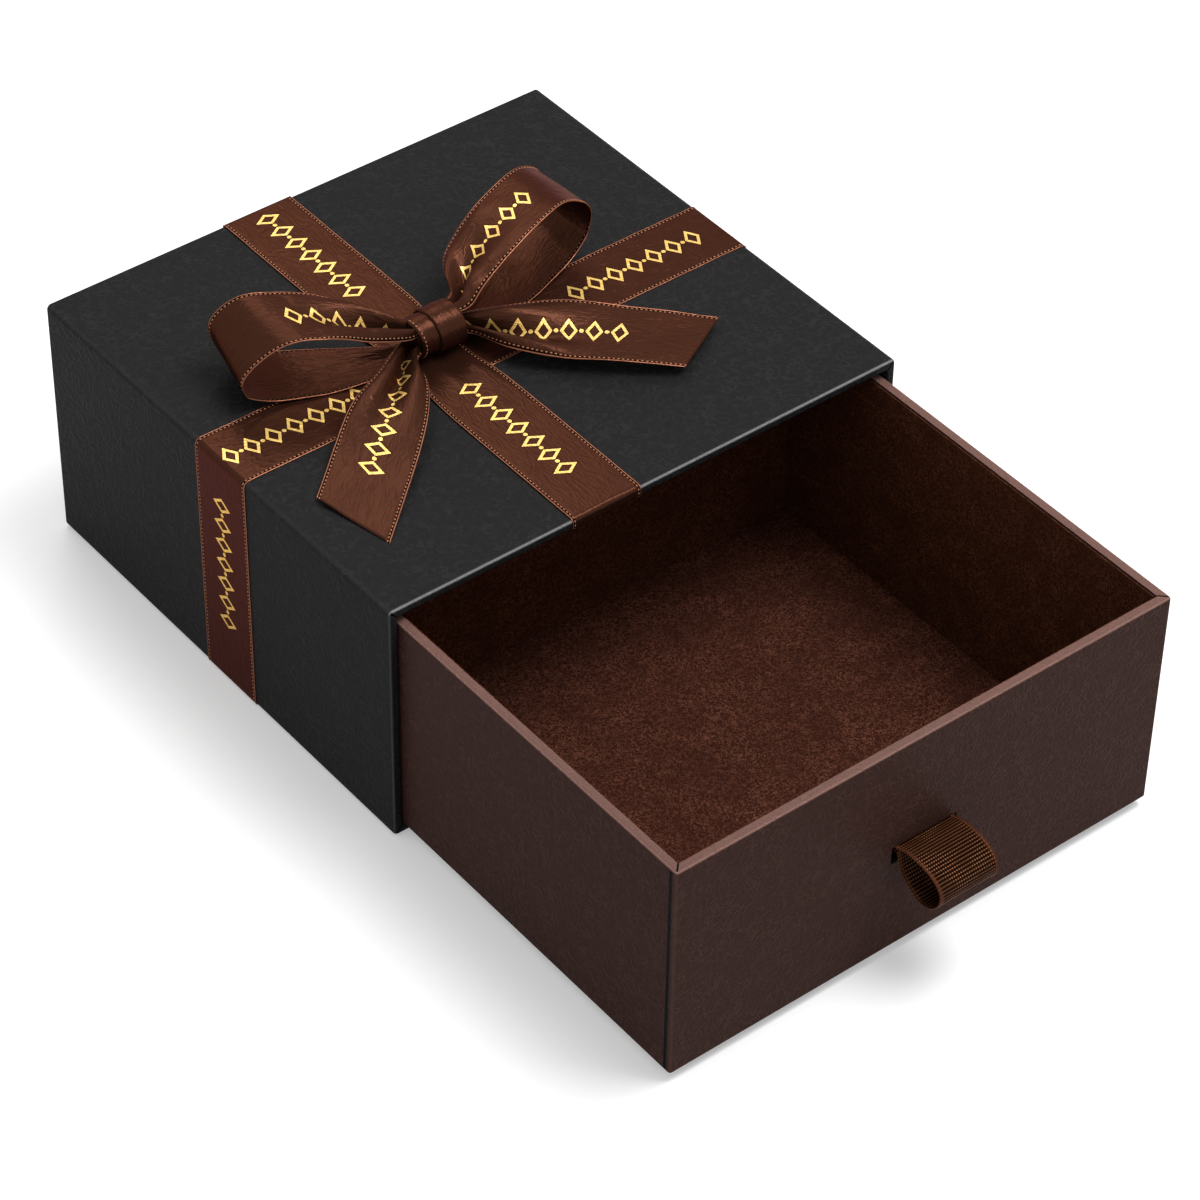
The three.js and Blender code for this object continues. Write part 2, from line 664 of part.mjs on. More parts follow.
function stripAlong(middle, thick) {
  const normalAt = (i) => {
    const before = middle[Math.max(i - 1, 0)];
    const after = middle[Math.min(i + 1, middle.length - 1)];
    const heading = after.clone().sub(before).normalize();
    return new THREE.Vector2(-heading.y, heading.x);
  };
  const offset = (sign) =>
    middle.map((point, i) => point.clone().addScaledVector(normalAt(i), (sign * thick) / 2));
  return new THREE.Shape([...offset(1), ...offset(-1).reverse()]);
}

function drawer() {
  const group = new THREE.Group();
  group.position.y = -drawerPullOut;
  group.add(
    ...drawerBoards(),
    ...drawerStays(),
    part("drawer_wrap", drawerWrap(), plumPaper),
    ...drawerLiners(),
    ...pullEnds(),
    part("pull_loop", pullLoop(), grosgrain),
  );
  return group;
}

const giftBox = new THREE.Group();
giftBox.add(
  ...sleeveBoards(),
  ...sleeveStays(),
  part("sleeve_wrap", sleeveWrap(), blackPaper),
  part("sleeve_back_sheet", sleeveBackSheet(), blackPaper),
  ...sleeveLinings(),
  part("ribbon_crosswise", crosswiseRibbon(), satin),
  part("ribbon_lengthwise", lengthwiseRibbon(), satin),
  bow(),
  drawer(),
);

export default giftBox;
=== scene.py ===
import json
import math

import bpy
import numpy as np
from mathutils import Matrix, Vector


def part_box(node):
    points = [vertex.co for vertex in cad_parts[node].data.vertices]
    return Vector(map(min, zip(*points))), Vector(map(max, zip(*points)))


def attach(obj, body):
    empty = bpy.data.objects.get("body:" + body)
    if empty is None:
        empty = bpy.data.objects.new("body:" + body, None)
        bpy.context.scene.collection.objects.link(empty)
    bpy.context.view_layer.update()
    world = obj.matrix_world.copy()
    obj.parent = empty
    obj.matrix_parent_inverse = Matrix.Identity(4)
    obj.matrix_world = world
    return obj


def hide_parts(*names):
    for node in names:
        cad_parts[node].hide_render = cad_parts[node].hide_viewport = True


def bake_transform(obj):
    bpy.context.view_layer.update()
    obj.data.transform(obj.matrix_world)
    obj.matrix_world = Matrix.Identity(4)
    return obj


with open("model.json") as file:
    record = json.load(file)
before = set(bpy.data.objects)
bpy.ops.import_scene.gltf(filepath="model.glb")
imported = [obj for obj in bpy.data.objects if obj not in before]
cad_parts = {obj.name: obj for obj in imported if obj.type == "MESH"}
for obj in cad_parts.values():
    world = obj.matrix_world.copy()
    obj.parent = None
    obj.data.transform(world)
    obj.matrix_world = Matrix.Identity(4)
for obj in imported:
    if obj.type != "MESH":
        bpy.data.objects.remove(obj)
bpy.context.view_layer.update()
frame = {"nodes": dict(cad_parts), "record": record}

# Sliding drawer gift box. The dictionaries hold millimetres, the meshes metres.
mm = 0.001
print("frame loaded,", len(frame["nodes"]), "nodes")


# Camera

shot = dict(
    azimuth=-38.9033,
    elevation=41.877,
    roll=1.019,
    aim=(-37.6, -178.7, 106.6),
    distance=2571.3,
    lens=130.35,
    sensor=36,
)


def addCamera():
    data = bpy.data.cameras.new("camera")
    data.lens = shot["lens"]
    data.sensor_width = shot["sensor"]
    camera = bpy.data.objects.new("camera", data)
    turn = Matrix.Rotation(math.radians(shot["azimuth"]), 4, "Z")
    turn = turn @ Matrix.Rotation(math.radians(90 - shot["elevation"]), 4, "X")
    turn = turn @ Matrix.Rotation(math.radians(shot["roll"]), 4, "Z")
    back = turn.to_3x3() @ Vector((0, 0, 1))
    place = Vector(shot["aim"]) * mm + back * shot["distance"] * mm
    camera.matrix_world = Matrix.Translation(place) @ turn
    bpy.context.scene.collection.objects.link(camera)
    bpy.context.scene.camera = camera


# Tools for meshes

def smoothStep(low, high, value):
    share = np.clip((value - low) / (high - low), 0, 1)
    return share * share * (3 - 2 * share)


def unit(vectors):
    return vectors / np.linalg.norm(vectors, axis=-1, keepdims=True)


def gridFaces(rows, columns, closeRows=False, closeColumns=False):
    # four-sided faces between neighbouring rows and columns; a closed direction joins its ends
    r = np.arange(rows if closeRows else rows - 1)
    c = np.arange(columns if closeColumns else columns - 1)
    a, b = np.meshgrid(r, c, indexing="ij")
    nextA, nextB = (a + 1) % rows, (b + 1) % columns
    corners = (a * columns + b, nextA * columns + b, nextA * columns + nextB, a * columns + nextB)
    return np.stack(corners, -1).reshape(-1, 4)


def enclosedVolume(points, faces):
    # sum over the faces of the signed volume between each and the origin
    a, b, c = points[faces[:, 0]], points[faces[:, 1]], points[faces[:, 2]]
    total = np.einsum("ij,ij->i", a, np.cross(b, c)).sum()
    if faces.shape[1] == 4:
        d = points[faces[:, 3]]
        total += np.einsum("ij,ij->i", a, np.cross(c, d)).sum()
    return total / 6


def addPiece(name, points, faces, body, material, maps=None, wearAndPaintedLight=None):
    # one closed mesh from points in millimetres; maps holds UV pairs for each face corner, in
    # metres, and wear one share for each point, which carries rubbed wear, painted highlight and
    # painted shade
    points = np.asarray(points, float).reshape(-1, 3) * mm
    maps = dict(maps or {})
    if enclosedVolume(points, faces) < 0:
        faces = faces[:, ::-1]
        maps = {key: uv[:, ::-1] for key, uv in maps.items()}
    mesh = bpy.data.meshes.new(name)
    mesh.from_pydata(points.tolist(), [], faces.tolist())
    mesh.polygons.foreach_set("use_smooth", np.ones(len(faces), bool))
    for key, uv in maps.items():
        layer = mesh.uv_layers.new(name=key)
        layer.data.foreach_set("uv", np.ascontiguousarray(uv, np.float32).ravel())
    if wearAndPaintedLight is not None:
        layer = mesh.attributes.new("wearAndPaintedLight", "FLOAT", "POINT")
        layer.data.foreach_set("value", np.ascontiguousarray(wearAndPaintedLight, np.float32).ravel())
    mesh.update()
    mesh.materials.append(material)
    piece = bpy.data.objects.new(name, mesh)
    bpy.context.scene.collection.objects.link(piece)
    if body:
        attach(piece, body)
    return piece


def closedShell(outer, inner, closeRows=False):
    # each row runs out over the outer skin and back over the inner one; open ends get a cap
    rows, columns = outer.shape[:2]
    ring = np.concatenate([outer, inner[:, ::-1]], axis=1)
    faces = gridFaces(rows, 2 * columns, closeRows, True)
    if not closeRows:
        j = np.arange(columns - 1)
        mirror = 2 * columns - 1
        cap = np.stack([j, j + 1, mirror - j - 1, mirror - j], -1)
        faces = np.concatenate([faces, cap, cap[:, ::-1] + (rows - 1) * 2 * columns])
    return ring.reshape(-1, 3), faces


def waves(x, y, size, seed, count=9):
    # a smooth unevenness from -1 to 1: a sum of sines in random directions, each wave from 0.7
    # to 1.7 of the given size long
    draw = np.random.default_rng(seed)
    total = np.zeros(np.broadcast(x, y).shape)
    for angle, phase, pace in draw.uniform(0, 1, (count, 3)):
        turn = 2 * math.pi * angle
        k = 2 * math.pi / size * (0.6 + 0.8 * pace)
        total += np.sin(k * (x * math.cos(turn) + y * math.sin(turn)) + 2 * math.pi * phase)
    return total / math.sqrt(count * 2)


def throughPoints(points, rowsPerSpan):
    # uniform Catmull-Rom through the points; any columns may follow the places
    points = np.asarray(points, float)
    ends = np.concatenate([[2 * points[0] - points[1]], points, [2 * points[-1] - points[-2]]])
    place = np.linspace(0, len(points) - 1, rowsPerSpan * (len(points) - 1) + 1)
    i = np.minimum(place.astype(int), len(points) - 2)
    f = (place - i)[:, None]
    a, b, c, d = ends[i], ends[i + 1], ends[i + 2], ends[i + 3]
    bend = 2 * a - 5 * b + 4 * c - d
    return b + 0.5 * f * (c - a + f * (bend + f * (3 * b - a - 3 * c + d)))


def lengthAlong(line):
    return np.concatenate([[0], np.linalg.norm(np.diff(line, axis=0), axis=1).cumsum()])


def pointsAt(marks, length, line):
    # the points of a line at the marked lengths along it
    return np.stack([np.interp(marks, length, column) for column in line.T], -1)


def evenly(line, step):
    # the same line with points at equal distances, near the given step
    length = lengthAlong(line)
    marks = np.linspace(0, length[-1], int(round(length[-1] / step)) + 1)
    return pointsAt(marks, length, line), marks


def roundedLine(corners, radii, arcSteps=8, close=False):
    # a flat line of straight stretches, with an arc of the given radius at each inner corner
    corners = np.asarray(corners, float)
    count = len(corners)
    line = [] if close else [corners[0]]
    for i in range(0 if close else 1, count if close else count - 1):
        here = corners[i]
        before = unit(corners[i - 1] - here)
        after = unit(corners[(i + 1) % count] - here)
        half = math.acos(float(np.clip(before @ after, -1, 1))) / 2
        radius = radii[i] if np.ndim(radii) else radii
        middle = here + unit(before + after) * radius / math.sin(half)
        start = here + before * radius / math.tan(half) - middle
        end = here + after * radius / math.tan(half) - middle
        for share in np.linspace(0, 1, arcSteps + 1):
            line.append(middle + radius * unit((1 - share) * start + share * end))
    line.append(line[0] if close else corners[-1])
    return np.array(line)


# Tools for materials

def linear(hexColour):
    # sRGB hex to the linear colour that the shaders work in
    value = np.array([int(hexColour[i:i + 2], 16) for i in (1, 3, 5)]) / 255
    value = np.where(value <= 0.04045, value / 12.92, ((value + 0.055) / 1.055) ** 2.4)
    return (*value.tolist(), 1)


def addNode(tree, kind, sockets=None, **settings):
    # one shader node; a socket takes a value, or a link from a node's first output or from a
    # given output
    node = tree.nodes.new("ShaderNode" + kind)
    for key, value in settings.items():
        setattr(node, key, value)
    for key, value in (sockets or {}).items():
        if isinstance(value, bpy.types.Node):
            value = value.outputs[0]
        if isinstance(value, bpy.types.NodeSocket):
            tree.links.new(value, node.inputs[key])
        else:
            node.inputs[key].default_value = value
    return node


def perSize(size):
    # texture scale on coordinates in metres for a pattern that repeats at this size in millimetres
    return 1 / (size * mm)


def startMaterial(name, uvMap=None):
    # an empty material, its tree, and the coordinates that its patterns follow: the object's
    # own, or a UV map of its pieces
    material = bpy.data.materials.new(name)
    material.use_nodes = True
    tree = material.node_tree
    tree.nodes.clear()
    if uvMap:
        return material, tree, addNode(tree, "UVMap", uv_map=uvMap).outputs["UV"]
    return material, tree, addNode(tree, "TexCoord").outputs["Object"]


def endMaterial(material, sockets):
    shader = addNode(material.node_tree, "BsdfPrincipled", sockets)
    addNode(material.node_tree, "OutputMaterial", {"Surface": shader})
    return material


def surfaceRelief(tree, *patterns):
    # the bump of one or more patterns added up, each with its depth in millimetres
    height = 0.0
    for pattern, depth in patterns:
        sockets = {0: pattern, 1: depth * mm, 2: height}
        height = addNode(tree, "Math", sockets, operation="MULTIPLY_ADD")
    return addNode(tree, "Bump", {"Height": height, "Distance": 1.0})


def curledLines(tree, place, look):
    # thin curled lines where a noise passes its middle level, fainter in patches
    hills = addNode(tree, "TexNoise", {
        "Vector": place, "Scale": perSize(look["curlSize"]), "Detail": 1.0,
        "Roughness": look["curlRoughness"], "Distortion": look["curlDistortion"]})
    level = addNode(tree, "Math", {0: hills, 1: 0.5}, operation="SUBTRACT")
    level = addNode(tree, "Math", {0: level}, operation="ABSOLUTE")
    near = {"Value": level, "From Min": look["lineWidth"], "From Max": 0.0}
    lines = addNode(tree, "MapRange", near, interpolation_type="SMOOTHSTEP")
    patches = addNode(tree, "TexNoise", {
        "Vector": place, "Scale": perSize(look["patchSize"]), "Detail": 3.0})
    shown = addNode(tree, "MapRange", {
        "Value": patches, "From Min": look["patchFrom"], "From Max": 1 - look["patchFrom"],
        "To Min": look["faintShare"], "To Max": 1.0})
    return addNode(tree, "Math", {0: lines, 1: shown}, operation="MULTIPLY")


# Papers and boards

blackPaper = dict(
    base="#201f1f",
    # crease lines painted lighter as a painted highlight
    crease="#2c2b2b",
    # rubbed edges painted lighter: partly wear, partly painted highlight
    rubbedAndHighlit="#a0a0a2",
    # painted shade in the gaps between folds
    gap="#030303",
    curlSize=5.2,
    curlRoughness=0.4,
    curlDistortion=0.5,
    lineWidth=0.1,
    patchSize=11,
    patchFrom=0.4,
    faintShare=0.4,
    creaseHighlightShare=0.6,
    creaseDepth=0.22,
    grainSize=0.9,
    grainDepth=0.03,
    roughness=0.46,
    roughSpread=0.06,
    specular=0.02,
)
plumPaper = dict(
    blackPaper,
    base="#3b2722",
    # crease lines and rubbed edges painted lighter: painted highlight, the edges partly wear
    crease="#4f3732",
    rubbedAndHighlit="#b0877c",
    curlSize=4.6,
    patchSize=10,
    creaseDepth=0.26,
    grainSize=0.8,
    grainDepth=0.028,
    roughness=0.52,
    specular=0.03,
)


def embossedPaper(name, look):
    # cover paper pressed with a leather grain: fine curled creases over an all-over grit, with a
    # soft satin shine; the creases are painted lighter, a painted highlight along them; its folded
    # edges are painted lighter where the wear share is over 0, partly rubbed wear and partly
    # painted highlight, and gaps between folds are painted dark as painted shade where it is under
    # 0
    material, tree, place = startMaterial(name)
    wearAndPaintedLight = addNode(tree, "Attribute", attribute_name="wearAndPaintedLight").outputs["Fac"]
    creases = curledLines(tree, place, look)
    grit = addNode(tree, "TexNoise", {
        "Vector": place, "Scale": perSize(look["grainSize"]), "Detail": 3.0, "Roughness": 0.6})
    # painted highlight: the crease lines are tinted lighter
    paintedCreaseHighlight = addNode(tree, "Math", {0: creases, 1: look["creaseHighlightShare"]}, operation="MULTIPLY")
    patchy = addNode(tree, "MapRange", {
        "Value": grit, "From Min": 0.3, "From Max": 0.7, "To Min": 0.65, "To Max": 1.0})
    # rubbed wear and painted highlight on the folded edges
    rubbedAndHighlitShare = addNode(tree, "Math", {0: wearAndPaintedLight, 1: patchy}, operation="MULTIPLY")
    # painted shade in the gaps between folds and in the drawer's seam
    paintedGapShade = addNode(tree, "MapRange", {"Value": wearAndPaintedLight, "From Min": -0.15, "From Max": -0.6})
    colour = linear(look["base"])
    for share, over in ((paintedCreaseHighlight, "crease"), (rubbedAndHighlitShare, "rubbedAndHighlit"), (paintedGapShade, "gap")):
        sockets = {0: share, 6: colour, 7: linear(look[over])}
        colour = addNode(tree, "Mix", sockets, data_type="RGBA").outputs[2]
    rough = addNode(tree, "MapRange", {
        "Value": grit, "From Min": 0.3, "From Max": 0.7,
        "To Min": look["roughness"] - look["roughSpread"],
        "To Max": look["roughness"] + look["roughSpread"]})
    bump = surfaceRelief(tree, (creases, look["creaseDepth"]), (grit, look["grainDepth"]))
    return endMaterial(material, {
        "Base Color": colour, "Roughness": rough, "Normal": bump,
        "Specular IOR Level": look["specular"]})


def plainStock(name, base, dark, fibreSize, fibreDepth, roughness):
    # uncoated board or paper: matt, with short fibres that vary its colour a little
    material, tree, place = startMaterial(name)
    fibres = addNode(tree, "TexNoise", {
        "Vector": place, "Scale": perSize(fibreSize), "Detail": 4.0, "Roughness": 0.65,
        "Distortion": 0.5})
    sockets = {0: fibres, 6: linear(dark), 7: linear(base)}
    tint = addNode(tree, "Mix", sockets, data_type="RGBA")
    return endMaterial(material, {
        "Base Color": tint.outputs[2], "Roughness": roughness, "Specular IOR Level": 0.15,
        "Normal": surfaceRelief(tree, (fibres, fibreDepth))})


suedeFloor = dict(
    base="#3d2018",
    dark="#28130c",
    # brush marks painted lighter: a painted sheen
    light="#683f30",
    # painted shade along the seam with the walls
    seam="#0d0503",
    sheen="#a06a48",
    napSize=0.9,
    napDepth=0.1,
    curlSize=2.4,
    curlRoughness=0.5,
    curlDistortion=0.8,
    curlDepth=0.15,
    lineWidth=0.09,
    patchSize=22,
    patchFrom=0.35,
    faintShare=0.4,
)
# a lit copy of the floor's suede for the upright cards: base and dark tones a little lighter to
# offset the shade on the walls
suedeWallLitCopy = dict(suedeFloor, base="#412114", dark="#2b140b", light="#653d29", curlDepth=0.13)


def flockedSuede(name, look):
    # flock on card: a dry matt nap with curled brush marks painted lighter as a painted sheen, and
    # painted shade along the seam where the wear share is 1
    material, tree, place = startMaterial(name)
    wearAndPaintedLight = addNode(tree, "Attribute", attribute_name="wearAndPaintedLight").outputs["Fac"]
    marks = curledLines(tree, place, look)
    nap = addNode(tree, "TexNoise", {
        "Vector": place, "Scale": perSize(look["napSize"]), "Detail": 4.0, "Roughness": 0.7})
    upright = addNode(tree, "MapRange", {"Value": nap, "From Min": 0.3, "From Max": 0.65})
    colour = linear(look["dark"])
    # painted sheen on the brush marks and painted shade along the seam
    for share, over in ((upright, "base"), (marks, "light"), (wearAndPaintedLight, "seam")):
        sockets = {0: share, 6: colour, 7: linear(look[over])}
        colour = addNode(tree, "Mix", sockets, data_type="RGBA").outputs[2]
    return endMaterial(material, {
        "Base Color": colour, "Roughness": 0.95, "Specular IOR Level": 0.04,
        "Normal": surfaceRelief(tree, (marks, look["curlDepth"]), (nap, look["napDepth"])),
        "Sheen Weight": 0.06, "Sheen Roughness": 0.5, "Sheen Tint": linear(look["sheen"])})


# Ribbons

ribbon = dict(
    width=50.8,
    thick=0.5,
    edgeRound=0.3,
    beadWidth=0.7,
    beadRise=0.18,
    beadReach=0.28,
    channelAt=1.75,
    channelWidth=0.75,
    channelDepth=0.2,
    stitchPitch=2.9,
    stitchLength=1.85,
    stitchWidth=1.0,
    stitchRise=0.36,
    stitchSides=5,
    shoulderShare=0.32,
    nearBy=0.2,
    pressedBelow=1,  # the edges are flat and bare where the box stands on them
    unprinted=1000,  # further than this from every print
    lidWithin=0.3,
    arcSteps=10,
    leastShare=0.05,
    edgeSteps=(0, 0.1, 0.3, 0.5, 0.75, 1.0, 1.25, 1.55, 1.85, 2.15, 2.6),
    middleFrom=3.4,
)
satin = dict(
    base="#47291f",
    dark="#362016",
    edge="#8f5b45",
    # painted shade in the sunk stitch line
    channel="#130905",
    shine="#c48a63",
    threadLength=11,
    threadWidth=0.4,
    threadDepth=0.016,
    creaseLength=15,
    creaseWidth=5,
    creaseTurn=12,
    creaseLines=4.5,
    creaseDepth=0.11,
    roughness=0.31,
    metallic=0.62,
    anisotropic=0.7,
)
foil = dict(
    pitch=15.4,
    cells=7,
    halfWidth=5.5,
    halfHeight=8.8,
    strokeShare=0.4,
    dot=1.45,
    outline=0.55,
    base="#dda84a",
    light="#f7d98e",
    dark="#2a0f0a",
    metallic=0.7,
    roughness=0.36,
)


def foilMask(tree, place, grow):
    # a chain of open lozenges with a dot between each two: on a lozenge's outline the sum
    # |x| / half width + |y| / half height is 1, and it falls to 0 at the middle
    start, stroke = foil["pitch"] * foil["cells"] / 2, foil["strokeShare"] / 2
    scaled = addNode(tree, "VectorMath", {0: place, "Scale": 1 / mm}, operation="SCALE")
    x, y = addNode(tree, "SeparateXYZ", {0: scaled}).outputs[:2]
    y = addNode(tree, "Math", {0: y}, operation="ABSOLUTE")
    across = x
    for operation, amount in (
            ("ADD", start), ("FLOORED_MODULO", foil["pitch"]), ("SUBTRACT", foil["pitch"] / 2),
            ("ABSOLUTE", 0.0)):
        across = addNode(tree, "Math", {0: across, 1: amount}, operation=operation)
    lozenge = addNode(tree, "Math", {0: across, 1: 1 / foil["halfWidth"]}, operation="MULTIPLY")
    sockets = {0: y, 1: 1 / foil["halfHeight"], 2: lozenge}
    lozenge = addNode(tree, "Math", sockets, operation="MULTIPLY_ADD")
    sockets = {0: lozenge, 1: 1 - stroke, 2: stroke + grow / foil["halfWidth"]}
    line = addNode(tree, "Math", sockets, operation="COMPARE")
    toDot = addNode(tree, "Math", {0: across, 1: foil["pitch"] / 2}, operation="SUBTRACT")
    spot = addNode(tree, "CombineXYZ", {0: toDot, 1: y})
    reach = addNode(tree, "VectorMath", {0: spot}, operation="LENGTH").outputs["Value"]
    dot = addNode(tree, "Math", {0: reach, 1: foil["dot"] + grow}, operation="LESS_THAN")
    shapes = addNode(tree, "Math", {0: line, 1: dot}, operation="MAXIMUM")
    along = addNode(tree, "Math", {0: x}, operation="ABSOLUTE")
    sockets = {0: along, 1: start - foil["dot"] - foil["outline"]}
    within = addNode(tree, "Math", sockets, operation="LESS_THAN")
    return addNode(tree, "Math", {0: shapes, 1: within}, operation="MULTIPLY")


def wovenSatin(name, look, printed=True):
    # polyester satin: fine threads and soft creases along the ribbon that stretch its shine
    # across it, a corded edge with a sunk line for the stitches inside it, painted dark as painted
    # shade, and a hot-stamped metal foil ornament
    material, tree, cloth = startMaterial(name, "cloth")
    scale = (perSize(look["threadLength"]), perSize(look["threadWidth"]), 1)
    stretched = addNode(tree, "Mapping", {"Vector": cloth, "Scale": scale})
    threads = addNode(tree, "TexNoise", {
        "Vector": stretched, "Scale": 1.0, "Detail": 2.0, "Roughness": 0.6})
    scale = (perSize(look["creaseLength"]), perSize(look["creaseWidth"]), 1)
    slanted = addNode(tree, "Mapping", {
        "Vector": cloth, "Rotation": (0, 0, math.radians(look["creaseTurn"])), "Scale": scale})
    hills = addNode(tree, "TexNoise", {
        "Vector": slanted, "Scale": 1.0, "Detail": 2.0, "Roughness": 0.4, "Distortion": 0.6})
    sockets = {0: hills, 1: look["creaseLines"] * 2 * math.pi}
    creases = addNode(tree, "Math", sockets, operation="MULTIPLY")
    creases = addNode(tree, "Math", {0: creases}, operation="SINE")
    shade = addNode(tree, "MapRange", {"Value": threads, "From Min": 0.3, "From Max": 0.7})
    side = addNode(tree, "SeparateXYZ", {0: cloth}).outputs[1]
    side = addNode(tree, "Math", {0: side}, operation="ABSOLUTE")
    layers = [(shade, linear(look["base"]))]
    channelEnd = ribbon["channelAt"] + 0.8 * ribbon["channelWidth"]
    # the sunk stitch line is painted dark as painted shade; the corded edge takes its own colour
    for reach, over in ((channelEnd, "channel"), (ribbon["beadWidth"], "edge")):
        sockets = {0: side, 1: (ribbon["width"] / 2 - reach) * mm}
        outside = addNode(tree, "Math", sockets, operation="GREATER_THAN")
        layers.append((outside, linear(look[over])))
    metal, rough = look["metallic"], look["roughness"]
    if printed:
        place = addNode(tree, "UVMap", uv_map="foil").outputs[0]
        gold = foilMask(tree, place, 0)
        layers.append((foilMask(tree, place, foil["outline"]), linear(foil["dark"])))
        sockets = {0: shade, 6: linear(foil["base"]), 7: linear(foil["light"])}
        layers.append((gold, addNode(tree, "Mix", sockets, data_type="RGBA").outputs[2]))
        metal, rough = (
            addNode(tree, "MapRange", {"Value": gold, "To Min": look[key], "To Max": foil[key]})
            for key in ("metallic", "roughness"))
    colour = linear(look["dark"])
    for share, over in layers:
        sockets = {0: share, 6: colour, 7: over}
        colour = addNode(tree, "Mix", sockets, data_type="RGBA").outputs[2]
    bump = surfaceRelief(tree, (threads, look["threadDepth"]), (creases, look["creaseDepth"] / 2))
    return endMaterial(material, {
        "Base Color": colour, "Metallic": metal, "Roughness": rough, "Normal": bump,
        "Specular IOR Level": 0.05, "Specular Tint": linear(look["shine"]),
        "Anisotropic": look["anisotropic"], "Anisotropic Rotation": 0.25,
        "Tangent": addNode(tree, "Tangent", direction_type="UV_MAP", uv_map="cloth")})


def copperThread(name, base, dark, twistSize):
    # twisted polyester thread: a fine slanted twist with a dull shine
    material, tree, place = startMaterial(name)
    twist = addNode(tree, "TexNoise", {
        "Vector": place, "Scale": perSize(twistSize), "Detail": 2.0})
    sockets = {0: twist, 6: linear(dark), 7: linear(base)}
    tint = addNode(tree, "Mix", sockets, data_type="RGBA")
    return endMaterial(material, {
        "Base Color": tint.outputs[2], "Roughness": 0.45, "Metallic": 0.3,
        "Specular IOR Level": 0.3})


pull = dict(
    width=44,
    thick=0.8,
    reach=38.5,
    drop=26,
    outAt=-428.1,
    glueAt=-421.75,
    upperEnd=114.15,
    lowerEnd=51.15,
    upperAt=88.45,
    lowerAt=85.85,
    topAt=88.85,
    shapeShares=[
        (0.23, -0.07), (0.5, -0.08), (0.74, 0), (0.91, 0.15), (1, 0.36), (0.98, 0.64),
        (0.83, 0.91), (0.6, 1), (0.4, 0.89), (0.23, 0.7), (0.12, 0.49), (0.08, 0.3),
    ],
    bendRadius=0.9,
    bendFrom=5.5,
    bendTo=9,
    ribPitch=2.2,
    ribDepth=0.45,
    warpPitch=1.7,
    warpDepth=0.12,
    patchSize=20,
    stepsPerRib=10,
    rowsPerSpan=12,
    rolls=[(0.55, 0.4, 1), (1.75, 0.36, 0.8)],  # from the edge, reach, share of the rise
    rollRise=0.34,
    rolled=2.4,
    ribsFrom=(2.1, 2.6),
    freeFrom=(1.0, 3.0),
    gluedShare=0.3,
    innerShare=0.4,
    edgeSteps=(0, 0.12, 0.3, 0.55, 0.8, 1.1, 1.4, 1.6, 1.75, 2.0, 2.3, 2.7),
    middleFrom=4,
    middleColumns=9,
    base="#4a2a1a",
    # dark: painted shade in the rib grooves; light: painted highlight on the crowns
    dark="#0a0301",
    light="#b07a55",
    shine="#c48a63",
)


def ribbedGrosgrain(name, look):
    # grosgrain: thick weft ribs across the ribbon, bound by warp threads that show as a
    # checked weave on the crowns; the deep grooves between the ribs are painted dark as painted
    # shade and the crowns' peaks lighter as a painted highlight
    material, tree, cloth = startMaterial(name, "cloth")
    along, across = addNode(tree, "SeparateXYZ", {0: cloth}).outputs[:2]
    waved = []
    for way, pitch in ((along, look["ribPitch"]), (across, look["warpPitch"])):
        sockets = {0: way, 1: 2 * math.pi * perSize(pitch)}
        turn = addNode(tree, "Math", sockets, operation="MULTIPLY")
        waved.append(addNode(tree, "Math", {0: turn}, operation="COSINE"))
    ribs, warps = waved
    patches = addNode(tree, "TexNoise", {
        "Vector": cloth, "Scale": perSize(look["patchSize"]), "Detail": 2.0})
    checked = addNode(tree, "MapRange", {
        "Value": patches, "From Min": 0.45, "From Max": 0.58, "To Min": 0.1, "To Max": 0.9})
    warps = addNode(tree, "Math", {0: warps, 1: checked}, operation="MULTIPLY")
    both = addNode(tree, "Math", {0: warps, 1: 0.7, 2: ribs}, operation="MULTIPLY_ADD")
    side = addNode(tree, "Math", {0: across}, operation="ABSOLUTE")
    sockets = {0: side, 1: (look["width"] / 2 - look["rolled"]) * mm}
    rolled = addNode(tree, "Math", sockets, operation="GREATER_THAN")
    # painted shade in the grooves between the ribs
    crown = addNode(tree, "MapRange", {"Value": both, "From Min": -0.5, "From Max": 1.1})
    crown = addNode(tree, "Math", {0: crown, 1: rolled}, operation="MAXIMUM")
    # painted highlight on the crowns
    lit = addNode(tree, "MapRange", {
        "Value": both, "From Min": 0.85, "From Max": 1.65, "To Max": 0.9})
    colour = linear(look["dark"])
    for share, over in ((crown, "base"), (lit, "light")):
        sockets = {0: share, 6: colour, 7: linear(look[over])}
        colour = addNode(tree, "Mix", sockets, data_type="RGBA").outputs[2]
    return endMaterial(material, {
        "Base Color": colour, "Roughness": 0.45, "Metallic": 0.15, "Specular IOR Level": 0.06,
        "Specular Tint": linear(look["shine"]),
        "Normal": surfaceRelief(tree, (warps, look["warpDepth"]))})


finish = dict(
    black=embossedPaper("embossedBlackPaper", blackPaper),
    plum=embossedPaper("embossedPlumPaper", plumPaper),
    lining=plainStock("mattBlackLiningPaper", "#161616", "#0f0f0f", 1.5, 0.02, 0.75),
    board=plainStock("greyboard", "#8b8478", "#6f685d", 2.5, 0.06, 0.9),
    tape=plainStock("gummedKraftTape", "#b79f7c", "#9c8464", 2.0, 0.03, 0.8),
    suede=flockedSuede("flockedSuede", suedeFloor),
    wallSuedeLitCopy=flockedSuede("flockedSuedeUprightLitCopy", suedeWallLitCopy),
    satin=wovenSatin("wovenSatin", satin),
    plainSatin=wovenSatin("wovenSatinUnprinted", satin, False),
    thread=copperThread("copperThread", "#b97f5c", "#7d4c33", 0.5),
    grosgrain=ribbedGrosgrain("ribbedGrosgrain", pull),
)
print("materials made")


# Sleeve and drawer papers. The profile of a paper runs along its axis, from the inside round the
# rim to the turn-in at the far end.

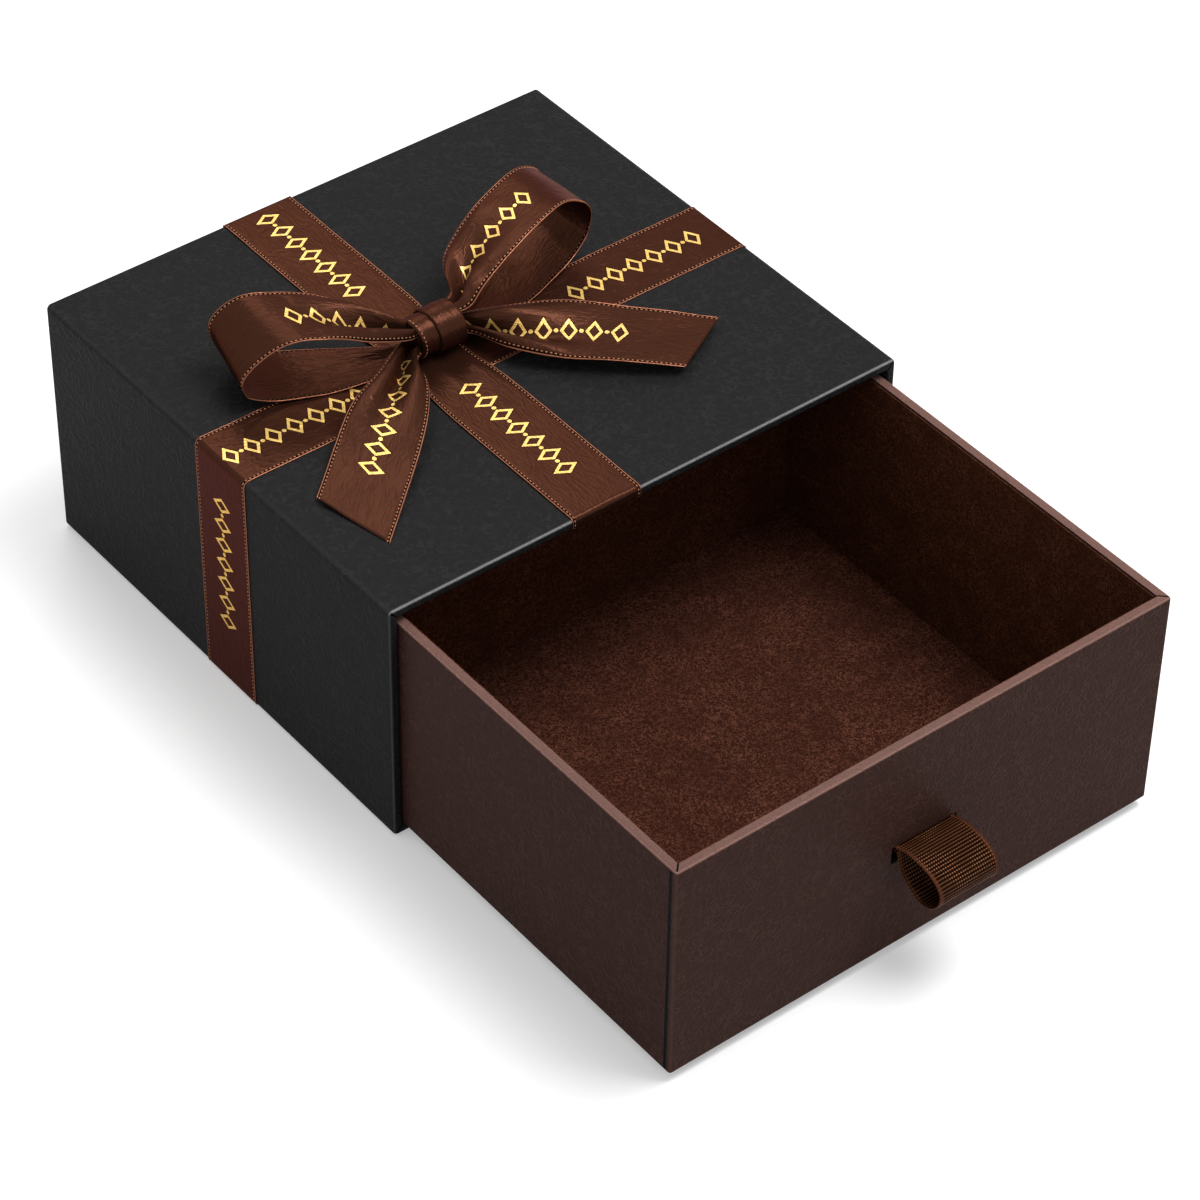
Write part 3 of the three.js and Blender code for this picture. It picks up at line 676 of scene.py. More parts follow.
fold = dict(
    arcSteps=10,
    rimSteps=6,
    nearEnd=0.3,
    longOver=3,
    wallOver=100,
    support=0.4,
    giveWay=0.35,
    leastCorner=1.2,
    leastFold=0.2,
    rimBelow=0.3,
    rimPast=0.6,
    flush=0.01,
    within=1,
    mitreShares=(1, 1, 0.85, 0.4),
    # columns either side of a corner's middle painted dark as painted shade in its gap
    gapSteps=2,
)
sleevePaper = dict(
    axis=1,
    rimAt=-177.8,
    endAt=177.3,
    halfWidth=190,
    halfSpan=88.9,
    middle=89.5,
    edgeRadius=3.5,
    wall=6.05,
    turnIn=15,
    endTurnIn=15.4,
    innerRim=1.2,
    outerRim=1.9,
    endRadius=1.2,
    thick=0.4,
    mitreDepth=0.3,
    # the mouth rim is painted lighter, partly rubbed wear and partly painted highlight, more on
    # its top edge from lidUnder below the lid's top
    lidUnder=(3, 1),
    rimWearAndHighlight=0.75,
    sideWearAndHighlight=0.22,
    edgeWearAndHighlight=0.04,
)
drawerPaper = dict(
    axis=2,
    rimAt=166.65,
    endAt=7.15,
    halfWidth=182.75,
    halfSpan=167.5,
    middle=-260.3,
    edgeRadius=2,
    wall=6.05,
    turnIn=15,
    endTurnIn=15.4,
    innerRim=1.1,
    outerRim=2.0,
    endRadius=1.0,
    thick=0.4,
    mitreDepth=0.3,
    seamInset=4.6,
    seamHalfWidth=1.7,
    seamShares=(1, 0.5, -0.5, -1),
    seamDepth=0.25,
    # share of the seam painted dark as painted shade
    darkShare=0.6,
    slotHalfWidth=24.4,
    slotLow=76.15,
    slotHigh=89.15,
    # thickness of the black lining that paints the slot dark as painted shade
    slotShadeLining=0.15,
    slotDepth=5.6,
    slotPlay=0.05,
    slotGap=0.1,
    slotRadius=0.5,
    slotArcSteps=4,
    # the rim's edges and flat top are painted lighter: partly rubbed wear, partly painted
    # highlight
    rimWearAndHighlight=0.7,
    flatWearAndHighlight=0.3,
    flatShare=0.5,
    edgeWearAndHighlight=0.14,
)


def withSupports(line, marks):
    # points close to each end of a long straight stretch, and at the marked places up the wall
    near, kept = fold["nearEnd"], [line[0]]
    for a, b in zip(line[:-1], line[1:]):
        length = np.linalg.norm(b - a)
        shares = [near / length, 1 - near / length] if length > fold["longOver"] else []
        if abs(b[1] - a[1]) > fold["wallOver"]:
            shares += [(mark - a[1]) / (b[1] - a[1]) for mark in marks]
        kept += [a + (b - a) * share for share in sorted(shares)]
        kept.append(b)
    return np.array(kept)


def profileSkins(look, marks):
    # the paper's outer and inner skins as (inset, place) pairs: along the inside, round the rim,
    # along the outside and round to the turn-in at the far end
    start, end = look["rimAt"], look["endAt"]
    toward = 1 if end > start else -1
    skins = []
    for less in (0, look["thick"]):
        wall, first, last = look["wall"] - less, start + toward * less, end - toward * less
        corners = [(wall, start + toward * look["turnIn"]), (wall, first), (less, first),
                   (less, last), (look["endTurnIn"], last)]
        radii = [0, look["innerRim"], look["outerRim"], look["endRadius"], 0]
        radii = [max(radius - less, fold["leastFold"]) for radius in radii]
        skins.append(withSupports(roundedLine(corners, radii, fold["rimSteps"]), marks))
    return skins


def outlineAt(look, insets, sideMarks):
    # points round a rectangle with rounded corners, for each inset from it: four arcs of the
    # radius less the inset, and between them the marked places on each side, which give way
    # in steps to the arcs of the deeper insets
    halfA, halfB = look["halfWidth"], look["halfSpan"]
    insets = insets[:, None]
    curve = np.maximum(look["edgeRadius"] - insets, fold["leastCorner"])
    angles = np.linspace(0, math.pi / 2, fold["arcSteps"] + 1)[None]
    columns = []
    for quarter, (signA, signB) in enumerate([(1, 1), (-1, 1), (-1, -1), (1, -1)]):
        marks = np.asarray(sideMarks[quarter], float)
        centreA = signA * (halfA - insets - curve)
        centreB = signB * (halfB - insets - curve)
        turn = angles + quarter * math.pi / 2
        arc = np.stack([centreA + curve * np.cos(turn), centreB + curve * np.sin(turn)], -1)
        plus = fold["giveWay"] * np.arange(1, len(marks) + 1)
        minus = plus[::-1]
        if marks[0] < marks[-1]:
            plus, minus = minus, plus
        straight = np.abs(centreA if quarter % 2 == 0 else centreB)
        fixed = np.clip(marks[None], minus - straight, straight - plus)
        level = halfB - insets if quarter % 2 == 0 else halfA - insets
        level = np.broadcast_to(level * (1 if quarter in (0, 3) else -1), fixed.shape)
        side = (fixed, level) if quarter % 2 == 0 else (level, fixed)
        columns += [arc, np.stack(side, -1)]
    return np.concatenate(columns, axis=1)


def sidePlaces(half, look, extra=()):
    # places on a side from plus to minus, with one close to each corner
    reach = half - look["edgeRadius"] - fold["support"]
    return sorted([reach, -reach, *extra], reverse=True)


def fromRim(look, line):
    return np.abs(line[:, 1] - look["rimAt"])


def acrossCorners(look, line, middles, count, reach):
    # where the folded paper meets on the rim: its rows, and for each step from a corner's middle
    # the columns there
    onRim = fromRim(look, line) < look["thick"] + fold["rimBelow"]
    rows = np.flatnonzero(onRim & (line[:, 0] > fold["rimPast"]))
    for step in range(-reach, reach + 1):
        for middle in middles:
            yield rows, (middle + step) % count, abs(step)


def foldPaper(look, sides, marks=()):
    # both skins, with one row for each point of the profile, pushed in along a narrow gap across
    # each corner of the rim; and the column at the middle of each corner
    shares, axis = fold["mitreShares"], look["axis"]
    inward = 1 if look["endAt"] > look["rimAt"] else -1
    middles, count = [], 0
    for places in sides:
        middles.append(count + fold["arcSteps"] // 2)
        count += fold["arcSteps"] + 1 + len(places)
    lines, skins = profileSkins(look, marks), []
    for line in lines:
        flat = outlineAt(look, line[:, 0], sides)
        axes = [flat[..., 0], flat[..., 1] + look["middle"]]
        axes.insert(axis, np.broadcast_to(line[:, 1][:, None], flat.shape[:2]))
        points = np.stack(axes, -1)
        for rows, column, step in acrossCorners(look, line, middles, count, len(shares) - 1):
            points[rows, column, axis] += inward * look["mitreDepth"] * shares[step]
        skins.append(points)
    return lines[0], skins, middles


def arcWearAndHighlight(inset, depth, radius):
    # 1 at the middle of a rounded edge and 0 where it meets the flats, falling as a cube: the
    # share of rubbed wear and painted highlight there
    a, b = np.maximum(radius - inset, 0), np.maximum(radius - depth, 0)
    return (2 * a * b / np.maximum(a * a + b * b, 1e-9)) ** 3


def allWearAndPaintedLight(look, outer, skins, middles, rim):
    # the rim's rubbed wear and painted highlight, with the long corners painted lighter as a
    # cosine round their arcs (wear and painted highlight), the gaps across the rim's corners
    # painted dark as painted shade, and none on the inner skin
    count, half = skins[0].shape[1], fold["arcSteps"] // 2
    steps, corners = np.arange(-half, half + 1), np.zeros(count)
    for middle in middles:
        corners[(middle + steps) % count] = np.cos(steps / fold["arcSteps"] * math.pi)
    wearAndPaintedLight = np.maximum(rim, look["edgeWearAndHighlight"] * corners[None])
    # painted shade in the gaps across the rim's corners
    for rows, column, _ in acrossCorners(look, outer, middles, count, fold["gapSteps"]):
        wearAndPaintedLight[rows, column] = -1
    return np.concatenate([wearAndPaintedLight, np.zeros(skins[1].shape[:2])])


def buildSleevePaper():
    look = sleevePaper
    wide, tall = (sidePlaces(look[half], look) for half in ("halfWidth", "halfSpan"))
    outer, skins, middles = foldPaper(look, [wide, tall, wide[::-1], tall[::-1]])
    up = skins[0][..., 2] - look["middle"]
    low, high = (look["halfSpan"] - under for under in look["lidUnder"])
    # painted highlight with rubbed wear on the mouth rim, stronger on its top edge than on its
    # sides
    rim = arcWearAndHighlight(outer[:, 0], fromRim(look, outer), look["outerRim"])[:, None]
    paintedTopHighlight = (look["rimWearAndHighlight"] - look["sideWearAndHighlight"]) * smoothStep(low, high, up)
    rim = rim * (look["sideWearAndHighlight"] + paintedTopHighlight)
    wearAndPaintedLight = allWearAndPaintedLight(look, outer, skins, middles, rim)
    ring = np.concatenate([skins[0], skins[1][::-1]])
    faces = gridFaces(*ring.shape[:2], True, True)
    paper = addPiece("sleeve_paper", ring, faces, "sleeve", finish["black"],
                     wearAndPaintedLight=wearAndPaintedLight)
    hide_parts("sleeve_wrap")


def buildDrawerPaper():
    look = drawerPaper
    near, slotEnd = fold["support"], look["slotHalfWidth"]
    seam = look["halfSpan"] - look["seamInset"]
    back = sidePlaces(look["halfWidth"], look)
    slotPlaces = (slotEnd + near, slotEnd, -slotEnd, -slotEnd - near)
    front = sidePlaces(look["halfWidth"], look, slotPlaces)
    side = [look["halfSpan"] - look["edgeRadius"] - near]
    side += [share * look["seamHalfWidth"] - seam for share in look["seamShares"]]
    marks = (look["slotHigh"] + near, look["slotHigh"], look["slotLow"], look["slotLow"] - near)
    outer, skins, middles = foldPaper(look, [back, side, front[::-1], side[::-1]], marks)
    x, fromTop = skins[0][..., 0], fromRim(look, outer)
    fromSeam = np.abs(skins[0][..., 1] - look["middle"] + seam)
    # the paper seam near each front corner, pressed in and painted dark as painted shade
    seamed = (
        (fromSeam < look["darkShare"] * look["seamHalfWidth"])
        & (outer[:, 0] < fold["flush"])[:, None]
        & (np.abs(x) > look["halfWidth"] - fold["within"]))
    x -= np.sign(x) * seamed * look["seamDepth"]
    # painted highlight with rubbed wear on the rim's rounded edges and flat top
    rim = np.maximum(
        arcWearAndHighlight(outer[:, 0], fromTop, look["outerRim"]),
        arcWearAndHighlight(look["wall"] - outer[:, 0], fromTop, look["innerRim"]))
    flatTopWearAndHighlight = (fromTop < look["flatShare"] * look["innerRim"]) * look["flatWearAndHighlight"]
    rim = np.maximum(rim * look["rimWearAndHighlight"], flatTopWearAndHighlight)[:, None]
    wearAndPaintedLight = allWearAndPaintedLight(look, outer, skins, middles, rim)
    # painted shade along the seam
    wearAndPaintedLight[:len(outer)][seamed] = -1
    ring = np.concatenate([skins[0], skins[1][::-1]])
    points, faces = ring.reshape(-1, 3), gridFaces(*ring.shape[:2], True, True)
    middle = points[faces].mean(1)
    frontAt = look["middle"] - look["halfSpan"]
    inSlot = (
        (middle[:, 1] < frontAt + fold["within"]) & (np.abs(middle[:, 0]) < slotEnd)
        & (middle[:, 2] > look["slotLow"]) & (middle[:, 2] < look["slotHigh"]))
    faces = np.concatenate([faces[~inSlot], slotLip(points, look, frontAt)])
    paper = addPiece("drawer_paper", points, faces, "drawer", finish["plum"],
                     wearAndPaintedLight=wearAndPaintedLight)
    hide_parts("drawer_wrap")


def slotCorners(look, less=0):
    half, low, high = look["slotHalfWidth"] - less, look["slotLow"] + less, look["slotHigh"] - less
    return [(-half, low), (half, low), (half, high), (-half, high)]


def slotLip(points, look, frontAt):
    # the cut edge of the paper round the slot: four faces from the outer to the inner skin
    outer, inner = (
        np.array([np.argmin(np.abs(points - (x, y, z)).sum(1)) for x, z in slotCorners(look)])
        for y in (frontAt, frontAt + look["thick"]))
    return np.stack([outer, np.roll(outer, -1), np.roll(inner, -1), inner], -1)


def buildSlotShadeLining():
    # a thin sleeve of black lining paper through the front board, round the slot, which paints the
    # slot's cut edges dark as painted shade
    look = drawerPaper
    frontAt = look["middle"] - look["halfSpan"]
    skins = []
    for less in (look["slotPlay"], look["slotPlay"] + look["slotShadeLining"]):
        corners = slotCorners(look, less)
        line = roundedLine(corners, look["slotRadius"], look["slotArcSteps"], True)[:-1]
        for y in (frontAt + look["thick"] + look["slotGap"], frontAt + look["slotDepth"]):
            skins.append(np.stack([line[:, 0], np.full(len(line), y), line[:, 1]], -1))
    ring = np.stack([skins[0], skins[1], skins[3], skins[2]])
    faces = gridFaces(*ring.shape[:2], True, True)
    addPiece("slot_shade_lining", ring, faces, "drawer", finish["lining"])


# Suede cards

card = dict(
    round=0.39,
    edgeSteps=(0, 0.06, 0.17, 0.39, 0.8, 1.3),
    inside=2.5,
    spacing=6,
    unevenness=0.10,
    unevenSize=38,
    unevenFrom=(1, 12),
    gap=0.45,
    # reach of the painted shade along the floor card's edges
    seam=(0.78, 1.3),
)


def buildCard(name, node, body, seed):
    # a card as large as its node, less a hair's breadth all round an upright one: thickness falls
    # to nothing in a quarter round at each edge
    low, high = (np.array(corner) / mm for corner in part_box(node))
    thin = int(np.argmin(high - low))
    wide = [axis for axis in range(3) if axis != thin]
    upright = thin != 2
    if upright:
        low[wide] += card["gap"]
        high[wide[0]] -= card["gap"]
    edge, lines = np.array(card["edgeSteps"]), []
    for start, end in zip(low[wide], high[wide]):
        count = int((end - start) / card["spacing"])
        inner = np.linspace(start + card["inside"], end - card["inside"], count)
        lines.append(np.concatenate([start + edge, inner, end - edge[::-1]]))
    a, b = np.meshgrid(*lines, indexing="ij")
    toEdge = np.minimum.reduce([a - a[0, 0], a[-1, 0] - a, b - b[0, 0], b[0, -1] - b])
    share = np.clip(toEdge / card["round"], 0, 1)
    half = (high[thin] - low[thin]) / 2
    bulge = (half - card["round"]) + card["round"] * np.sqrt(1 - (1 - share) ** 2)
    uneven = card["unevenness"] * (waves(a, b, card["unevenSize"], seed) - 1)
    uneven = uneven * smoothStep(*card["unevenFrom"], toEdge)
    skins = []
    for side in (1, -1):
        points = np.zeros(a.shape + (3,))
        points[..., wide[0]], points[..., wide[1]] = a, b
        points[..., thin] = (high[thin] + low[thin]) / 2 + side * (bulge + uneven * 0.5)
        skins.append(points)
    points, faces = closedShell(*skins)
    # painted shade along the floor card's edges, where the walls meet it
    seam = (1 - smoothStep(*card["seam"], toEdge)) * (not upright)
    wearAndPaintedLight = np.concatenate([seam, seam[:, ::-1]], axis=1)
    # the upright cards take the lit copy of the suede
    material = finish["wallSuedeLitCopy" if upright else "suede"]
    piece = addPiece(name, points, faces, body, material, wearAndPaintedLight=wearAndPaintedLight)
    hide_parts(node)


def buildCards():
    for seed, side in enumerate(("floor", "front", "back", "left", "right")):
        buildCard("suede_" + side, "liner_" + side, "drawer", seed)


# Ribbon surfaces

def clothPlaces(look, count):
    # places across a ribbon: close together at its edges, and the given count between them
    half, edge = look["width"] / 2, np.array(look["edgeSteps"])
    inside = half - look["middleFrom"]
    middle = np.linspace(-inside, inside, count)
    return np.concatenate([-half + edge, middle, half - edge[::-1]])


def bell(place, middle, reach):
    return np.exp(-(((place - middle) / reach) ** 2))


def roundedHalf(thick, fromEdge):
    # half a ribbon's thickness, which falls off at its edge as a square root
    share = np.clip(fromEdge / ribbon["edgeRound"], ribbon["leastShare"], 1)
    return thick / 2 * np.sqrt(share)


def surfaceNormals(grid):
    return unit(np.cross(np.gradient(grid, axis=0), np.gradient(grid, axis=1)))


def ribbonCorners(faces, cloth):
    # for each face corner of a closed ribbon: its row, if it is on the outer skin, and its place
    # across
    row, column = np.divmod(faces, 2 * len(cloth))
    return row, column < len(cloth), np.concatenate([cloth, cloth[::-1]])[column]


def addRibbon(look, grid, outward, cloth, marks):
    # a ribbon from the points of its middle surface, with its stitches; cloth holds the places
    # across it, marks the middles of its printed ornaments along it; outward is 1 where the
    # computed normals point out. Its corded edge stands proud and a line inside it is sunk.
    normals = surfaceNormals(grid) * outward
    fromEdge = cloth[-1] - np.abs(cloth)
    half = roundedHalf(ribbon["thick"], fromEdge)
    bead = ribbon["beadRise"] * bell(fromEdge, ribbon["beadWidth"] / 2, ribbon["beadReach"])
    channel = bell(fromEdge, ribbon["channelAt"], ribbon["channelWidth"])
    relief = bead - ribbon["channelDepth"] * channel
    relief = relief * (grid[..., 2] > ribbon["pressedBelow"])
    outer = grid + normals * (half + relief)[..., None]
    inner = grid - normals * (half + np.maximum(relief, 0))[..., None]
    along = lengthAlong(grid[:, grid.shape[1] // 2])
    points, faces = closedShell(outer, inner)
    row, onOuter, v = ribbonCorners(faces, cloth)
    u, marks = along[row], np.asarray(marks, float)
    centre = marks[np.abs(u.mean(1)[:, None] - marks).argmin(1)]
    fromMark = np.where(onOuter.all(1)[:, None], u - centre[:, None], ribbon["unprinted"])
    maps = {"cloth": np.stack([u, v], -1) * mm, "foil": np.stack([fromMark, v], -1) * mm}
    piece = addPiece(look["name"] + "_satin", points, faces, "sleeve",
                     finish["satin"], maps)
    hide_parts(look["node"])
    stitches = addStitches(look["name"] + "_stitches", outer, normals, cloth)


def addStitches(name, outer, normals, cloth, sides=(-1, 1)):
    # a stitch is a short spindle of two five-sided rings and two tips, laid in the sunk line at
    # equal distances along each edge
    count, near, shoulder = ribbon["stitchSides"], ribbon["nearBy"], ribbon["shoulderShare"]
    turn = np.arange(count) * 2 * math.pi / count
    shape = [(-0.5, 0, 0)]
    for x in (-shoulder, shoulder):
        shape += [(x, math.cos(t), math.sin(t)) for t in turn]
    shape.append((0.5, 0, 0))
    size = (ribbon["stitchLength"], ribbon["stitchWidth"] / 2, ribbon["stitchRise"])
    shape = np.array(shape) * size
    i = np.arange(count) + 1
    j = i % count + 1
    spindle = np.concatenate([np.stack(corners, -1) for corners in (
        (0 * i, j, i), (0 * i + 2 * count + 1, count + i, count + j), (i, j, count + j),
        (i, count + j, count + i))])
    places, frames = [], []
    for side in sides:
        column = int(np.abs(cloth - side * (cloth[-1] - ribbon["channelAt"])).argmin())
        line = outer[:, column]
        length = lengthAlong(line)
        marks = np.arange(ribbon["stitchPitch"] / 2, length[-1], ribbon["stitchPitch"])
        ahead, behind = (pointsAt(marks + step, length, line) for step in (near, -near))
        up, forward = unit(pointsAt(marks, length, normals[:, column])), unit(ahead - behind)
        beside = unit(np.cross(up, forward))
        places.append(pointsAt(marks, length, line))
        frames.append(np.stack([forward, beside, np.cross(forward, beside)], -2))
    places, frames = np.concatenate(places), np.concatenate(frames)
    kept = places[:, 2] > ribbon["pressedBelow"]
    points = np.einsum("pk,nkj->npj", shape, frames[kept]) + places[kept][:, None]
    faces = spindle[None] + len(shape) * np.arange(len(points))[:, None, None]
    return addPiece(name, points, faces.reshape(-1, 3), "sleeve", finish["thread"])


# Ribbons round the sleeve

crosswise = dict(
    name="crosswise",
    node="ribbon_crosswise",
    lengthAxis=0,
    middle=-10,
    left=-190.35,
    right=190.35,
    low=0.25,
    high=178.75,
    cornerRadius=3.85,
    seamAt=69.5,
    seamGap=1.0,
    sideMark=98,
    lidMarks=(121, -136),
    step=1.1,
    columns=17,
    rough=0.16,
    roughSize=34,
    seed=21,
    foldDepth=0,
    drawIn=0,
)
lengthwise = dict(
    name="lengthwise",
    node="ribbon_lengthwise",
    lengthAxis=1,
    middle=-33,
    back=178.15,
    front=-178.15,
    low=0.25,
    high=179.35,
    ceiling=172.05,
    under=40,
    turnIn=18,
    mouthRadius=3.2,
    backRadius=2.2,
    innerRadius=0.6,
    backMark=92,
    lidMarks=(119, -92),
    step=0.8,
    columns=23,
    rough=0.14,
    roughSize=30,
    seed=22,
    foldDepth=0.8,
    drawIn=0.13,
)
knotFolds = dict(start=10, reach=26, count=2.6, shift=0.15, lift=0.7, wander=0.9, size=34, seed=5)
knotPlace = np.array([-29.0, -2.0, 194.9])


def stripGrid(line, cloth, middle, lengthAxis):
    # a flat line carried across the ribbon's width; lengthAxis is the axis of its first column
    grid = np.zeros((len(line), len(cloth), 3))
    grid[..., lengthAxis] = line[:, 0][:, None]
    grid[..., 1 - lengthAxis] = middle + cloth[None]
    grid[..., 2] = line[:, 1][:, None]
    return grid


def layStrip(look, corners, radii, printedAt):
    # a ribbon laid on the box along a line of the given corners, a little uneven on the lid; each
    # print is at the point of the line that is nearest to its place
    line, along = evenly(roundedLine(corners, radii, ribbon["arcSteps"]), look["step"])
    cloth = clothPlaces(ribbon, look["columns"])
    grid = stripGrid(line, cloth, look["middle"], look["lengthAxis"])
    normals = surfaceNormals(grid)
    onLid = line[:, 1] > look["high"] - ribbon["lidWithin"]
    outward = 1 if normals[onLid][0, 0, 2] > 0 else -1
    # folds run away from the knot: each fades with the distance from it, and the ribbon is
    # drawn in towards its middle by as much as the folds take up
    distance = np.where(onLid, np.abs(line[:, 0] - knotPlace[1]) - knotFolds["start"], np.inf)
    fade = bell(np.maximum(distance, 0), 0, knotFolds["reach"])[:, None]
    slow = waves(line[:, 0][:, None], cloth[None] * 2, knotFolds["size"], knotFolds["seed"])
    turns = knotFolds["count"] * math.pi * (cloth[None] / cloth[-1] + knotFolds["shift"])
    folds = knotFolds["lift"] + np.cos(turns + knotFolds["wander"] * slow)
    rough = waves(along[:, None], cloth[None], look["roughSize"], look["seed"])
    rough = rough * look["rough"] * onLid[:, None]
    uneven = fade * look["foldDepth"] * folds + rough
    grid = grid + normals * outward * uneven[..., None]
    grid[..., 0] -= fade * look["drawIn"] * cloth[None]
    marks = [along[np.argmin(np.hypot(*(line - place).T))] for place in printedAt]
    addRibbon(look, grid, outward, cloth, marks)


def layRibbons():
    look = crosswise
    left, right, low, high = (look[key] for key in ("left", "right", "low", "high"))
    corners = [(look["seamAt"], low), (right, low), (right, high), (left, high), (left, low),
               (look["seamAt"] - look["seamGap"], low)]
    printedAt = [(side, look["sideMark"]) for side in (left, right)]
    printedAt += [(x, high) for x in look["lidMarks"]]
    layStrip(look, corners, look["cornerRadius"], printedAt)
    look = lengthwise
    front, back, low, high = (look[key] for key in ("front", "back", "low", "high"))
    corners = [(back - look["under"], low), (back, low), (back, high), (front, high),
               (front, look["ceiling"]), (front + look["turnIn"], look["ceiling"])]
    inner = look["innerRadius"]
    radii = [0, inner, look["backRadius"], look["mouthRadius"], inner, 0]
    printedAt = [(back, look["backMark"])] + [(y, high) for y in look["lidMarks"]]
    layStrip(look, corners, radii, printedAt)


# Bow. A row holds, as shares of the named sizes, the reach, the sweep, the height over or under
# the knot's middle, the half width and how much of the gather goes into folds, then the
# direction across the ribbon.

bow = dict(
    root=16.3,
    bedDrop=15.35,
    rowsPerSpan=22,
    columns=41,
    slantFrom=0.6,
    ridgesPerHalf=1.5,
    lean=0.22,
    wrinkle=0.5,
    wrinkleSize=7,
    wrinkleStretch=0.35,
    wrinkleReach=34,
    loose=0.35,
    looseSize=42,
    looseSeed=20,
)
loopLeft = dict(
    name="left_loop", node="bow_loop_left", side=-1, reach=121, sweep=42, rise=33, slant=0,
    seed=31, marks=[36], valley=-0.1,
    shares=[
        (-0.05, 0.03, 0.22, 0.26, 0.4, 0, 1, 0.3),
        (0.06, 0.05, 0.26, 0.36, 0.75, 0, 1, 0.3),
        (0.27, 0.32, 0.56, 0.74, 0.9, 0.05, 1, 0.2),
        (0.55, 0.58, 0.93, 0.99, 0.5, 0.05, 1, 0.06),
        (0.82, 0.84, 0.95, 1, 0, 0.1, 1, 0.12),
        (1, 1, 0.36, 1, 0, 0.2, 1, 0.2),
        (0.86, 0.93, -0.52, 1, 0, 0.1, 1, 0.12),
        (0.58, 0.68, -0.93, 1, 0, 0, 1, 0.03),
        (0.27, 0.33, -0.88, 0.72, -0.1, 0.05, 1, 0),
        (0.06, 0.05, -0.6, 0.36, -0.25, 0, 1, 0),
        (-0.05, 0.03, -0.5, 0.26, -0.25, 0, 1, 0),
    ],
)
loopRight = dict(
    name="right_loop", node="bow_loop_right", side=1, reach=135, sweep=42, rise=38, slant=0,
    seed=32, marks=[52], valley=0.1,
    shares=[
        (-0.05, 0.03, 0.22, 0.26, 0.4, 0, 1, -0.15),
        (0.06, 0.05, 0.29, 0.42, 0.7, 0, 1, -0.15),
        (0.19, 0.4, 0.5, 0.88, 0.9, 0, 1, -0.15),
        (0.5, 0.66, 0.88, 0.99, 0.6, 0, 1, -0.1),
        (0.81, 0.88, 0.95, 1, 0, 0, 1, -0.08),
        (1, 1, 0.4, 1, 0, 0, 1, -0.05),
        (0.87, 0.92, -0.5, 1, 0, 0, 1, 0),
        (0.58, 0.68, -0.9, 1, 0, 0, 1, 0),
        (0.27, 0.33, -0.86, 0.72, -0.1, 0, 1, 0),
        (0.06, 0.05, -0.6, 0.36, -0.25, 0, 1, 0),
        (-0.05, 0.03, -0.5, 0.26, -0.25, 0, 1, 0),
    ],
)
tailFront = dict(
    name="front_tail", node="bow_tail_front", side=-1, reach=131, sweep=-98, rise=0, slant=-12,
    seed=33, marks=[68], valley=0.2,
    shares=[
        (-0.04, 0.03, -0.25, 0.24, 0.35, 0, 1, 0.2),
        (0.05, 0.06, -0.25, 0.34, 0.55, -0.1, 1, 0.2),
        (0.2, 0.26, -0.1, 0.6, 0.75, -0.55, 0.8, 0.15),
        (0.42, 0.46, -0.22, 0.92, 0.6, -0.6, 0.8, 0.08),
        (0.7, 0.73, -0.62, 1, 0, -0.6, 0.8, 0.02),
        (1, 1.02, -0.97, 1, 0, -0.6, 0.8, 0),
    ],
)
tailRight = dict(
    name="right_tail", node="bow_tail_right", side=1, reach=131, sweep=-98, rise=0, slant=12,
    seed=34, marks=[58], valley=-0.2,
    shares=[
        (-0.04, 0.03, -0.16, 0.24, 0.35, 0, 1, 0.2),
        (0.05, 0.06, -0.16, 0.34, 0.55, 0.1, 1, 0.25),
        (0.2, 0.26, -0.04, 0.64, 0.85, 0.55, 0.8, 0.25),
        (0.42, 0.46, -0.12, 0.95, 0.8, 0.58, 0.81, 0.15),
        (0.7, 0.73, -0.3, 1, 0, 0.58, 0.81, 0.06),
        (1, 1, -0.7, 1, 0, 0.58, 0.81, 0.03),
    ],
)


